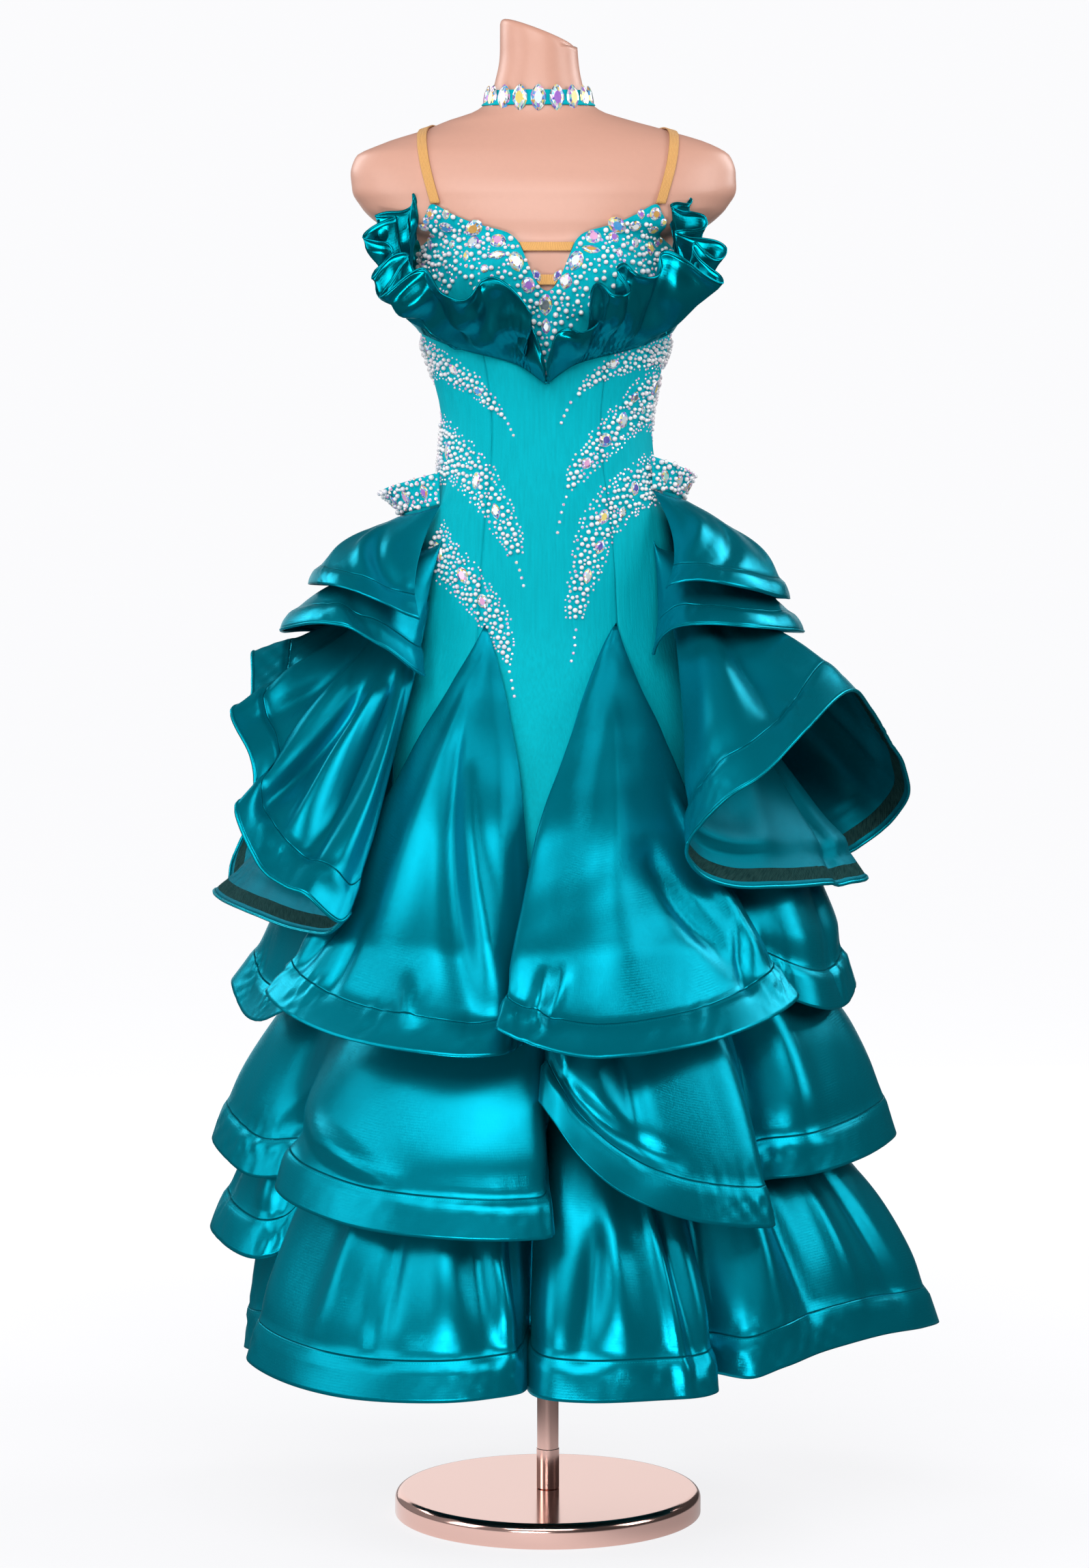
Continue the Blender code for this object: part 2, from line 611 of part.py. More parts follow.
def material(name, colour, roughness, metallic):
    made = bpy.data.materials.new(name)
    made.use_nodes = True
    shader = made.node_tree.nodes["Principled BSDF"]
    shader.inputs["Base Color"].default_value = (*colour, 1.0)
    shader.inputs["Roughness"].default_value = roughness
    shader.inputs["Metallic"].default_value = metallic
    made.diffuse_color = (*colour, 1.0)
    return made


def add_object(name, form, colour, roughness=0.5, metallic=0.0):
    """An object of the dress's collection from a bmesh, with a material of its own."""
    mesh = bpy.data.meshes.new(name)
    form.to_mesh(mesh)
    form.free()
    mesh.shade_smooth()
    mesh.materials.append(material(name, colour, roughness, metallic))
    made = bpy.data.objects.new(name, mesh)
    bpy.data.collections[COLLECTION].objects.link(made)
    return made


def sheet_form(surface, columns, rows):
    """A bmesh grid laid on surface(across, down), its meeting edges joined."""
    form = bmesh.new()
    bmesh.ops.create_grid(form, x_segments=columns, y_segments=rows, size=0.5)
    for vert in form.verts:
        vert.co = surface(vert.co.x + 0.5, 0.5 - vert.co.y)
    bmesh.ops.remove_doubles(form, verts=form.verts, dist=1e-6)
    bmesh.ops.recalc_face_normals(form, faces=form.faces)
    return form


def cloth(name, surface, columns, rows, colour=SATIN, roughness=0.35):
    """A wall of cloth round a surface."""
    made = add_object(name, sheet_form(surface, columns, rows), colour, roughness)
    shell = made.modifiers.new("Wall", "SOLIDIFY")
    shell.thickness = CLOTH
    shell.offset = 0.0
    return made


def loft(name, rings, colour, roughness):
    """A closed body through rings of points, with flat ends."""
    form = bmesh.new()
    loops = [[form.verts.new(point) for point in ring] for ring in rings]
    for lower, upper in zip(loops, loops[1:]):
        for i in range(len(lower)):
            following = (i + 1) % len(lower)
            form.faces.new((lower[i], lower[following], upper[following], upper[i]))
    form.faces.new(reversed(loops[0]))
    form.faces.new(loops[-1])
    return add_object(name, form, colour, roughness)


def make_base():
    """The round plate: half its section, turned round the Z axis."""
    inner = BASE_RADIUS - BASE_EDGE
    top = BASE_THICKNESS - BASE_EDGE
    profile = [(0.0, BASE_THICKNESS)]
    for turned in [math.radians(angle) for angle in (90.0, 60.0, 30.0, 0.0)]:
        profile.append((inner + BASE_EDGE * math.cos(turned), top + BASE_EDGE * math.sin(turned)))
    profile += [(BASE_RADIUS, BASE_FOOT), (BASE_RADIUS - BASE_FOOT, 0.0), (0.0, 0.0)]
    form = bmesh.new()
    points = [form.verts.new((x, 0.0, z)) for x, z in profile]
    for first, last in zip(points, points[1:]):
        form.edges.new((first, last))
    made = add_object("base_plate", form, METAL, 0.12, 1.0)
    turned = made.modifiers.new("Turned", "SCREW")
    turned.steps = turned.render_steps = 40
    turned.use_merge_vertices = True
    turned.merge_threshold = 1e-5


def make_pole():
    """The pole, from the plate to the form's underside."""
    foot = BASE_THICKNESS + SEAM_GAP
    length = FORM_BOTTOM - SEAM_GAP - foot
    form = bmesh.new()
    bmesh.ops.create_cone(
        form, cap_ends=True, segments=20, radius1=POLE_RADIUS, radius2=POLE_RADIUS, depth=length
    )
    made = add_object("pole", form, METAL, 0.12, 1.0)
    made.location.z = foot + length / 2


def make_form():
    """The limbless form: hips, waist, bust, shoulder caps and the neck's slanting cut."""
    step = 360.0 / FORM_SIDES
    angles = [step * i for i in range(FORM_SIDES)]
    rings = []
    for row in FORM_END:
        ring = [figure(angle, 0.945) for angle in angles]
        rings.append([Vector((p.x * row.scale, p.y * row.scale, row.height)) for p in ring])
    for height in [row.height for row in FIGURE if 0.95 < row.height < 1.57]:
        slimmer = FORM_SLIMMER if height < FORM_BARE else 0.0
        rings.append([figure(angle, height, -slimmer, FORM_BUST) for angle in angles])
    neck = FIGURE[-1]
    for lift, scale in ((0.0, 1.0), (0.0055, 0.95), (0.0075, 0.86)):
        ring = []
        for angle in angles:
            point = figure(angle, neck.height)
            x = neck.centre + (point.x - neck.centre) * scale
            fall = NECK_CUT_SLOPE * (x - neck.centre)
            ring.append(Vector((x, point.y * scale, neck.height + lift - fall)))
        rings.append(ring)
    loft("dress_form", rings, SKIN, 0.35)


def make_choker():
    """The choker: a band round the neck with a row of drop stones standing out of it."""

    def surface(across, down):
        angle = 360.0 * across
        middle = 0.5 - 0.5 * math.cos(2 * math.pi * across * CHOKER_STONES)
        reach = blend(*DROP_REACH, middle)
        centre = CHOKER_HEIGHT - CHOKER_TILT * math.cos(math.radians(angle))
        if down < 0.3:
            return figure(angle, centre + blend(reach, -reach, 6.0 * down), CHOKER_BAND)
        share = (down - 1 / 6) * 1.2
        swell = math.sin(math.pi * min(max(share, 0.0), 1.0)) ** 0.7
        out = CHOKER_BAND + CHOKER_THIN + blend(*DROP_STAND, middle) * swell
        return figure(angle, centre + blend(-reach, reach, share), out)

    form = sheet_form(surface, 4 * CHOKER_STONES, 6)
    seal_ring(form)
    add_object("choker", form, STONE, 0.15)


def seal_ring(form):
    """Closes the strip between a ring's first and last edge loop."""
    rim = [edge for edge in form.edges if edge.is_boundary]
    bmesh.ops.bridge_loops(form, edges=rim)
    bmesh.ops.recalc_face_normals(form, faces=form.faces)


def neckline(angle):
    return level(NECKLINE, "height", abs((angle + 180.0) % 360.0 - 180.0))


def frill_seam(angle):
    return level(FRILL_SEAM, "height", abs((angle + 180.0) % 360.0 - 180.0))


def seam_turn(height):
    """Half a seam's gap as an angle."""
    return math.degrees(0.5 * SEAM_GAP / level(FIGURE, "half_width", height))


def bodice_surface(first, last):
    def surface(across, down):
        angle = blend(first + 0.1, last - 0.1, across)
        height = blend(neckline(angle), frill_seam(angle) + SEAM_GAP, down)
        return figure(angle, height, CLOTH_OUT)

    return surface


def panel_surface(first, last):
    """A panel of the close-fitting body, between two upright seams, from the frill's seam down."""

    def surface(across, down):
        angle = blend(first, last, across)
        levels = (frill_seam(angle) - SEAM_GAP,) + PANEL_LEVELS
        place = min(int(down * len(PANEL_LEVELS) + 1e-6), len(PANEL_LEVELS) - 1)
        height = blend(levels[place], levels[place + 1], down * len(PANEL_LEVELS) - place)
        turn = seam_turn(height)
        return figure(blend(first + turn, last - turn, across), height, CLOTH_OUT)

    return surface


def make_body():
    """Bodice above the frill's seam, and four panels below it."""
    cloth("bodice_front", bodice_surface(-SIDE_SEAM, SIDE_SEAM), 44, 4, CREPE, 0.7)
    cloth("bodice_back", bodice_surface(SIDE_SEAM, 360.0 - SIDE_SEAM), 18, 1, CREPE, 0.7)
    back_seam = 180.0 - PRINCESS_SEAM
    panels = {
        "panel_front": (-PRINCESS_SEAM, PRINCESS_SEAM, 8),
        "panel_right": (PRINCESS_SEAM, back_seam, 16),
        "panel_back": (back_seam, 360.0 - back_seam, 8),
        "panel_left": (-back_seam, -PRINCESS_SEAM, 16),
    }
    for name, (first, last, columns) in panels.items():
        cloth(name, panel_surface(first, last), columns, len(PANEL_LEVELS), CREPE, 0.7)


def make_bridges():
    """Two strips of elastic across the V notch."""
    for name, span in (("bridge_upper", UPPER_BRIDGE), ("bridge_lower", LOWER_BRIDGE)):

        def surface(across, down, span=span):
            height = blend(span.last, span.first, down)
            half = level(NOTCH, "angle", height) - BRIDGE_SHORT
            return figure(blend(-half, half, across), height, CLOTH_OUT)

        cloth(name, surface, 4, 1, ELASTIC, 0.6)


def strap_reach(x, angle):
    """Distance from the straps' line to the form's surface, in the plane at x."""
    turned = math.radians(angle)
    near = 0.0
    far = 0.3
    for _ in range(30):
        middle = (near + far) / 2
        height = STRAP_PIVOT + middle * math.sin(turned)
        y = -middle * math.cos(turned)
        deep = level(FIGURE, "front" if y < 0 else "back", height)
        side = (x - level(FIGURE, "centre", height)) / level(FIGURE, "half_width", height)
        inside = height < FIGURE[-1].height and side**2 + (y / deep) ** 2 < 1.0
        near, far = (middle, far) if inside else (near, middle)
    return near


def make_straps():
    """Elastic straps from the bodice's corners over the shoulders to its back."""
    for name, side in (("strap_right", 1.0), ("strap_left", -1.0)):

        def surface(across, down, side=side):
            angle = blend(*STRAP_ENDS, down)
            middle = blend(*STRAP_SIDE, down**2) + STRAP_BOW * math.sin(math.pi * min(down * 1.6, 1.0))
            x = side * (middle + (across - 0.5) * STRAP_WIDTH)
            reach = strap_reach(x, angle) + CLOTH / 2 + 4 * SEAM_GAP
            turned = math.radians(angle)
            return Vector((x, -reach * math.cos(turned), STRAP_PIVOT + reach * math.sin(turned)))

        cloth(name, surface, 1, 20, ELASTIC, 0.6)


def frill_surface(rows, side):
    """The bust frill: from its seam on the body up and out to its waved free edge."""

    def surface(across, down):
        seam_angle = trail(rows, "seam_angle", across)
        root = figure(side * seam_angle, frill_seam(seam_angle), SECOND_OUT)
        free = Vector([trail(rows, axis, across) for axis in "xyz"])
        free.x *= side
        point = root.lerp(free, down)
        outward = Vector((point.x, point.y, 0.0)).normalized()
        return point + outward * FRILL_BOW * math.sin(math.pi * down)

    return surface


def make_frills():
    cloth("frill_right", frill_surface(FRILL_FRONT_RIGHT + FRILL_BACK, 1.0), 66, 2)
    cloth("frill_left", frill_surface(FRILL_FRONT_LEFT + FRILL_BACK, -1.0), 62, 2)


def hip_surface(rows, side, seam_height, ends, seat, stand):
    """A short tier round one hip, its top along the body and its hem through the rows."""
    front, back = calm(rows, 0.0), calm(rows, 1.0)

    def surface(across, down):
        hem_angle = trail(rows, "angle", across)
        top_angle = blend(*ends, (calm(rows, across) - front) / (back - front))
        bulge = math.sin(math.pi * across)
        top_height = seam_height - HIP_DROP * bulge
        angle = blend(top_angle, hem_angle, down)
        top = figure_radius(angle, top_height, seat + stand * bulge)
        radius = blend(top, trail(rows, "radius", across), 1.0 - (1.0 - down) ** HIP_FULLNESS)
        height = blend(top_height, trail(rows, "height", across), down)
        return around(side * angle, radius, height)

    return surface


def collar_surface(hip):
    """The stiff band that stands up and out at the top of the hip tiers."""

    def surface(across, down):
        angle = blend(*COLLAR_ENDS, across)
        bulge = math.sin(math.pi * across)
        bottom = hip.seam_height - HIP_DROP * bulge
        out = HIP_SEAT + bulge * (hip.stand + hip.flare * (1.0 - down))
        radius = figure_radius(angle, bottom, out)
        height = blend(COLLAR_HEIGHT - COLLAR_SAG * bulge, 0.0, down)
        return around(hip.side * angle, radius, bottom + height)

    return surface


def drape_surface(hip):
    """A side drape: a bell from the hip to its open mouth."""

    def surface(across, down):
        angle = trail(hip.drape, "top_angle", across, 0.0)
        top = figure(hip.side * angle, DRAPE_TOP, trail(hip.drape, "top_out", across, 0.0))
        mouth = Vector([trail(hip.drape, axis, across, 0.0) for axis in "xyz"])
        mouth.x *= hip.side
        point = top.lerp(mouth, down**hip.pinch)
        point.z = blend(top.z, mouth.z, down ** (1.0 / hip.pinch))
        outward = Vector((point.x, point.y, 0.0)).normalized()
        return point + outward * FRILL_BOW * math.sin(math.pi * down)

    return surface


def make_hips():
    """Collar, two short tiers and a bell-shaped drape at each side."""
    for hip in HIPS:
        upper_seam = hip.seam_height - CLOTH - SEAM_GAP
        upper = hip_surface(hip.upper, hip.side, upper_seam, COLLAR_ENDS, HIP_SEAT, hip.stand)
        lower = hip_surface(
            hip.lower, hip.side, LOWER_HIP_SEAM, LOWER_HIP_ENDS, LOWER_HIP_SEAT, LOWER_HIP_STAND
        )
        cloth("hip_collar_" + hip.name, collar_surface(hip), 16, 2, CREPE, 0.6)
        cloth("hip_tier_upper_" + hip.name, upper, 18, 3)
        cloth("hip_tier_lower_" + hip.name, lower, 18, 3)
        cloth("side_drape_" + hip.name, drape_surface(hip), 2 * len(hip.drape), 4)


def godet_surface(godet):
    """A godet: from its point on the body down and out to its waved hem."""

    def surface(across, down):
        height = blend(godet.point_height, trail(godet.rows, "height", across), down)
        hem_angle = trail(godet.rows, "angle", across)
        swing = blend(calm(godet.rows, across), hem_angle, down)
        angle = blend(godet.point_angle, swing, 1.0 - (1.0 - down) ** godet.swing)
        ease = blend(godet.point_ease, GODET_EASE, min(7.0 * down, 1.0))
        seat = figure_radius(angle, height, GODET_SEAT + ease)
        hem_seat = figure_radius(hem_angle, FIGURE[0].height, GODET_SEAT + GODET_EASE)
        hem = trail(godet.rows, "radius", across) - hem_seat - GODET_RISE
        lift = down**godet.lift
        spread = 1.0 - (1.0 - down) ** godet.fullness if hem > 0.0 else lift
        return around(angle, seat + GODET_RISE * lift + hem * spread, height)

    return surface


def make_godets():
    for godet in GODETS:
        cloth(godet.name, godet_surface(godet), 14, 7)


def lining_radius(height):
    """The underskirt below the panels' hem, a plain cone."""
    return blend(LINING_WIDEST, LINING_NARROWEST, (height - LINING_HEM) / (LINING_TURN - LINING_HEM))


def tier_surface(tier):
    """A tier of the skirt, from the underskirt to its hem of lobes and folds."""
    seam = (lining_radius(tier.seam_height) + CLOTH + 2 * SEAM_GAP) / math.cos(math.pi / TIER_COLUMNS)
    closing = None if tier.turn is None else 0.0

    def surface(across, down):
        hem_angle = trail(tier.rows, "angle", across, tier.turn)
        angle = blend(calm(tier.rows, across, tier.turn), hem_angle, down)
        fullness = TIER_FULLNESS + tier.lean * math.sin(math.radians(angle))
        spread = blend(1.0 - (1.0 - down) ** fullness, down, TIER_STRAIGHT)
        radius = blend(seam, trail(tier.rows, "radius", across, closing), spread)
        height = blend(tier.seam_height, trail(tier.rows, "height", across, closing), down)
        return around(angle, radius, height)

    return surface


def lining_surface(across, down):
    """The underskirt: its top edge inside the panels, its narrowest level, and its hem."""
    angle = 360.0 * across
    if down < 0.25:
        return figure(angle, LINING_TOP, EASE - CLOTH / 2 - 2 * SEAM_GAP)
    height = LINING_TURN if down < 0.75 else LINING_HEM
    return around(angle, lining_radius(height), height)


def make_skirt():
    """The underskirt and the tiers on it."""
    cloth("underskirt", lining_surface, 48, 2)
    for tier in TIERS:
        cloth(tier.name, tier_surface(tier), tier.columns, tier.levels)


for old in list(bpy.data.objects):
    bpy.data.objects.remove(old, do_unlink=True)
bpy.context.scene.collection.children.link(bpy.data.collections.new(COLLECTION))
make_base()
make_pole()
make_form()
make_choker()
make_body()
make_bridges()
make_straps()
make_frills()
make_hips()
make_godets()
make_skirt()
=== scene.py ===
# %% [markdown]
# # A ballroom dance dress on its form
# The solids made in CAD come in first. They fix every size and place, and stay as they are.
# Each piece below is laid over its own solid, finer than the solid, and then takes its finish.
# Units are metres. The front faces -Y, and an angle goes from the front (0) past +X (90) to the back.

# %% The frame
import math
from collections import namedtuple

import bmesh
import bpy
import numpy as np
from mathutils import Matrix, Vector


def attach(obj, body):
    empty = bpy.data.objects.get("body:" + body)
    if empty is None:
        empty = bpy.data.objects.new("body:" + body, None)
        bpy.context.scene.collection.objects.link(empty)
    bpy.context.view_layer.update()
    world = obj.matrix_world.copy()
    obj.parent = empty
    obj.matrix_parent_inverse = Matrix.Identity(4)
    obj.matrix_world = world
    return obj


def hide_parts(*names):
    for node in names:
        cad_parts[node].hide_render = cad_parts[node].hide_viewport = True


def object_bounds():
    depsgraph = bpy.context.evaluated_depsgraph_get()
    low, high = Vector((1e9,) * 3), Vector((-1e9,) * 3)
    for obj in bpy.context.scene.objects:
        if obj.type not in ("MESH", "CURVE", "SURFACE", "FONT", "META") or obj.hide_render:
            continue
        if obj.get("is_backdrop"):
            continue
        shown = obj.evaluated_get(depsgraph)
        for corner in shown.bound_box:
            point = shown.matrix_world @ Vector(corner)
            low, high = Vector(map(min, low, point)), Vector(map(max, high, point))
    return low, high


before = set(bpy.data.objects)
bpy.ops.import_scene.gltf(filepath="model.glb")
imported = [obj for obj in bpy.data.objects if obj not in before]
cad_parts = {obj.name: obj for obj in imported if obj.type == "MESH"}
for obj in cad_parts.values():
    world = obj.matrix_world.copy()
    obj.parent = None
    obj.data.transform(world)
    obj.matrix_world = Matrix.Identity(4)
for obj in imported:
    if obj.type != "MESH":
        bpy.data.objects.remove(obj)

cad_box = [list(corner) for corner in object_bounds()]
print("CAD box in mm:", [[round(1000 * x) for x in corner] for corner in cad_box])

# %% [markdown]
# ## Camera
# A long lens far away keeps a tall dress upright: near lenses make the hem look larger than the
# bust. The camera stands a little above the waist and looks slightly down.

# %% Camera
CAMERA_ASIDE, CAMERA_DISTANCE, CAMERA_HEIGHT, CAMERA_DIP = -0.0036, 4.4, 1.10, 4.054
LENS_LENGTH, SENSOR_HEIGHT = 94.856, 36.0


def set_camera():
    lens = bpy.data.cameras.new("studio_lens")
    lens.sensor_fit = "VERTICAL"
    lens.sensor_height = SENSOR_HEIGHT
    lens.lens = LENS_LENGTH
    camera = bpy.data.objects.new("studio_camera", lens)
    camera.location = (CAMERA_ASIDE, -CAMERA_DISTANCE, CAMERA_HEIGHT)
    camera.rotation_euler = (math.radians(90.0 - CAMERA_DIP), 0.0, 0.0)
    bpy.context.scene.collection.objects.link(camera)
    bpy.context.scene.camera = camera
    print("camera", CAMERA_DISTANCE, "m in front of the pole")


set_camera()

# %% [markdown]
# ## Reading tables
# A dressmaker works from a few measured levels and lets the cloth run smoothly between them. Here
# the same is done with two curves through a table: one that never overshoots, for the figure,
# and a springy one for waved hems, which may close on itself after a full turn.

# %% Two smooth curves
def smooth(keys, values, key):
    """A curve through a table that is flat at each peak, so that it never overshoots."""
    steps = np.diff(keys)
    grades = np.diff(values) / steps
    before, after = grades[:-1], grades[1:]
    rising = before * after > 0
    slopes = np.concatenate([grades[:1], np.zeros(len(before)), grades[-1:]])
    slopes[1:-1][rising] = (2 * before * after)[rising] / (before + after)[rising]
    key = np.clip(key, keys[0], keys[-1])
    place = np.clip(np.searchsorted(keys, key, side="right") - 1, 0, len(keys) - 2)
    step = steps[place]
    t = (key - keys[place]) / step
    first, last = slopes[place] * step, slopes[place + 1] * step
    rise = values[place + 1] - values[place]
    bend = 3 * rise - 2 * first - last
    return values[place] + first * t + bend * t**2 + (rise - first - bend) * t**3


def trail(values, along, turn=None):
    """A springy curve read evenly along a table; turn closes it, adding that much a lap."""
    count = len(values) - 1 if turn is None else len(values)
    place = np.asarray(along, float) * count
    start = np.floor(place).astype(int)
    if turn is None:
        start = np.clip(start, 0, count - 1)
    t = np.clip(place - start, 0.0, 1.0)

    def value(index):
        if turn is None:
            return values[np.clip(index, 0, count)]
        return values[index % count] + turn * (index // count)

    before, first, last, after = (value(start + offset) for offset in (-1, 0, 1, 2))
    bend = 2 * before - 5 * first + 4 * last - after
    twist = 3 * (first - last) + after - before
    return first + 0.5 * t * (last - before + t * (bend + t * twist))


def calm(values, along, turn=None):
    """The same curve averaged over its neighbours, so that it only ever moves on."""
    reach = 2.5 / len(values)
    shares = (-1.0, -0.5, 0.0, 0.5, 1.0)
    return sum(trail(values, along + share * reach, turn) for share in shares) / len(shares)


def blend(first, last, share):
    return first + (last - first) * share


def fade(low, high, value):
    """0 below low, 1 above high, and a soft slope between."""
    share = np.clip((value - low) / (high - low), 0.0, 1.0)
    return share * share * (3.0 - 2.0 * share)


def in_metres(rows):
    """A table as columns: the first one as it is, the others turned from millimetres to metres."""
    columns = np.array(rows, float).T
    columns[1:] *= 0.001
    return columns


print("half way up a 0-1-0 table:", float(trail(np.array([0.0, 1.0, 0.0]), 0.25)))

# %% [markdown]
# ## The figure
# Everything near the body follows one figure, given as levels from under the hips to the neck.
# The cups get a soft rise on each side. The same numbers shape the solids, so cloth laid on
# this figure meets them without any fitting.

# %% Levels of the figure
# height, half width, depth in front, depth behind, shift along X
FIGURE = np.array([
    (0.64, 0.206, 0.203, 0.203, 0), (0.7, 0.197, 0.19, 0.19, 0), (0.754, 0.188, 0.178, 0.18, 0),
    (0.8, 0.176, 0.16, 0.163, 0), (0.85, 0.163, 0.14, 0.145, 0), (0.9, 0.15, 0.118, 0.128, 0),
    (0.96, 0.14, 0.1, 0.114, 0), (1.02, 0.134, 0.098, 0.115, 0), (1.08, 0.124, 0.094, 0.106, 0),
    (1.13, 0.112, 0.088, 0.092, -0.001), (1.172, 0.109, 0.085, 0.084, -0.0015),
    (1.22, 0.1175, 0.089, 0.084, -0.002), (1.265, 0.13, 0.097, 0.088, -0.002),
    (1.31, 0.131, 0.106, 0.09, -0.001), (1.345, 0.1325, 0.106, 0.092, -0.001),
    (1.365, 0.1365, 0.103, 0.093, -0.002), (1.377, 0.168, 0.103, 0.094, -0.003),
    (1.387, 0.183, 0.102, 0.094, -0.004), (1.4, 0.195, 0.1, 0.094, -0.004),
    (1.418, 0.203, 0.095, 0.094, -0.004), (1.434, 0.2035, 0.088, 0.092, -0.005),
    (1.452, 0.198, 0.079, 0.088, -0.005), (1.466, 0.172, 0.07, 0.083, -0.002),
    (1.48, 0.127, 0.06, 0.074, -0.003), (1.49, 0.096, 0.053, 0.064, -0.009),
    (1.5, 0.066, 0.049, 0.056, -0.01), (1.512, 0.0525, 0.047, 0.05, -0.01),
    (1.53, 0.046, 0.045, 0.047, -0.01), (1.555, 0.0415, 0.044, 0.044, -0.0095),
    (1.575, 0.0405, 0.0435, 0.043, -0.01),
]).T
LEVEL, HALF_WIDTH, FRONT, BACK, CENTRE = FIGURE
CLOTH = 0.0016  # the solids' cloth
SEAM_GAP = 0.0003
CLOTH_OUT = 0.0009 + CLOTH / 2  # from the form to the middle of the cloth on it
SECOND_OUT = CLOTH_OUT + CLOTH + 2 * SEAM_GAP
BUST_RISE, BUST_ANGLE, BUST_HEIGHT, BUST_WIDE, BUST_HIGH = 0.020, 27.0, 1.322, 17.0, 0.036
SIDEWAYS = (1.0, 1.0, 0.0)


def point_at(x, y, z):
    return np.stack(np.broadcast_arrays(x, y, z), axis=-1)


def wide_at(height):
    return smooth(LEVEL, HALF_WIDTH, height)


def deep_at(height, ahead):
    """Depth of the figure, in front where ahead is true and behind elsewhere."""
    return np.where(ahead, smooth(LEVEL, FRONT, height), smooth(LEVEL, BACK, height))


def figure(angle, height, out=0.0, bust=BUST_RISE):
    """Points of the figure, moved out from it."""
    turned = np.radians((angle + 180.0) % 360.0 - 180.0)
    beside = (np.abs(np.degrees(turned)) - BUST_ANGLE) / BUST_WIDE
    above = (height - BUST_HEIGHT) / BUST_HIGH
    out = out + bust * np.exp(-(beside**2) - above**2)
    x = smooth(LEVEL, CENTRE, height) + (wide_at(height) + out) * np.sin(turned)
    return point_at(x, -(deep_at(height, np.cos(turned) > 0) + out) * np.cos(turned), height)


def figure_radius(angle, height, out=0.0):
    """Distance from the Z axis to the figure in a true direction."""
    turned = np.radians(angle)
    deep = deep_at(height, np.cos(turned) > 0) + out
    wide = wide_at(height) + out
    return 1.0 / np.hypot(np.sin(turned) / wide, np.cos(turned) / deep)


def around(angle, radius, height):
    turned = np.radians(angle)
    return point_at(radius * np.sin(turned), -radius * np.cos(turned), height)


print("waist", round(2000 * float(wide_at(1.172))), "mm wide")

# %% [markdown]
# ## Laying cloth
# Cloth starts as a flat grid and is laid on a formula, as a length of satin is laid on a stand.
# Each point then knows how far along the hem it is and how far above it, both in metres. These two
# lengths become the UV map, so that bands and stitches keep their real size. Folds, seams and
# hems are small moves along the normal, and Solidify gives the wall last.

# %% A length of cloth
Laid = namedtuple("Laid", "points across run rise total closed")
MERGE = 1e-6
TUBE_WIDTH = 0.3  # a closed piece narrower than this hangs beside the body, not round it


def form_of(mesh):
    form = bmesh.new()
    form.from_mesh(mesh)
    return form


def pour(form, mesh):
    """Writes a bmesh into a mesh and lets go of it."""
    form.to_mesh(mesh)
    form.free()
    return mesh


def add_piece(mesh):
    made = bpy.data.objects.new(mesh.name, mesh)
    bpy.context.scene.collection.objects.link(made)
    return made


def tie(made, slot, *nodes):
    """A piece rides on the body and stands for its solids, which it hides; slot is not used."""
    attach(made, "root")
    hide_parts(*nodes)


def unit(vectors):
    return vectors / np.maximum(np.linalg.norm(vectors, axis=-1, keepdims=True), 1e-12)


def normals_of(points, closed):
    """Unit normals of a grid of points."""
    padded = points
    if closed:
        padded = np.concatenate([points[:, -2:-1], points, points[:, 1:2]], axis=1)
    sideways = np.gradient(padded, axis=1)
    if closed:
        sideways = sideways[:, 1:-1]
    return unit(np.cross(sideways, np.gradient(points, axis=0)))


def length_along(line):
    """How far along a line each of its points is."""
    return np.concatenate([[0.0], np.cumsum(np.linalg.norm(np.diff(line, axis=0), axis=-1))])


def lay(surface, columns, rows, closed=False, crowd=1.0):
    """A surface on a grid whose rows crowd towards the hem, with lengths along it and above it."""
    across, down = np.meshgrid(np.linspace(0, 1, columns + 1), np.linspace(0, 1, rows + 1))
    points = surface(across, 1.0 - (1.0 - down) ** crowd)
    run = length_along(points[-1])
    steps = np.linalg.norm(np.diff(points, axis=0), axis=-1)
    rise = np.zeros(points.shape[:2])
    rise[:-1] = np.cumsum(steps[::-1], axis=0)[::-1]
    return Laid(points, across, np.broadcast_to(run, rise.shape), rise, run[-1], closed)


def grid_mesh(name, points, run, rise, finishes, outward):
    """A bmesh grid whose vertices are moved to the points, with its UV map and finishes."""
    rows, columns = points.shape[0] - 1, points.shape[1] - 1
    form = bmesh.new()
    bmesh.ops.create_grid(form, x_segments=columns, y_segments=rows, size=0.5)
    mesh = pour(form, bpy.data.meshes.new(name))
    flat = np.empty(3 * len(mesh.vertices))
    mesh.vertices.foreach_get("co", flat)
    flat = flat.reshape(-1, 3)
    column = np.rint((flat[:, 0] + 0.5) * columns).astype(int)
    row = np.rint((0.5 - flat[:, 1]) * rows).astype(int)
    mesh.vertices.foreach_set("co", points[row, column].ravel())
    corner = np.empty(len(mesh.loops), dtype=np.int32)
    mesh.loops.foreach_get("vertex_index", corner)
    cut = np.stack([run[row, column], rise[row, column]], axis=-1)[corner]
    mesh.uv_layers.new(name="cut").data.foreach_set("uv", cut.ravel())
    mesh.update()
    face = mesh.polygons[(rows // 2) * columns + columns // 2]
    if Vector(outward[row[face.vertices[0]], column[face.vertices[0]]]).dot(face.normal) < 0:
        mesh.flip_normals()
    form = form_of(mesh)
    bmesh.ops.remove_doubles(form, verts=form.verts, dist=MERGE)
    pour(form, mesh)
    mesh.shade_smooth()
    for finish in finishes:
        mesh.materials.append(finish)
    return mesh


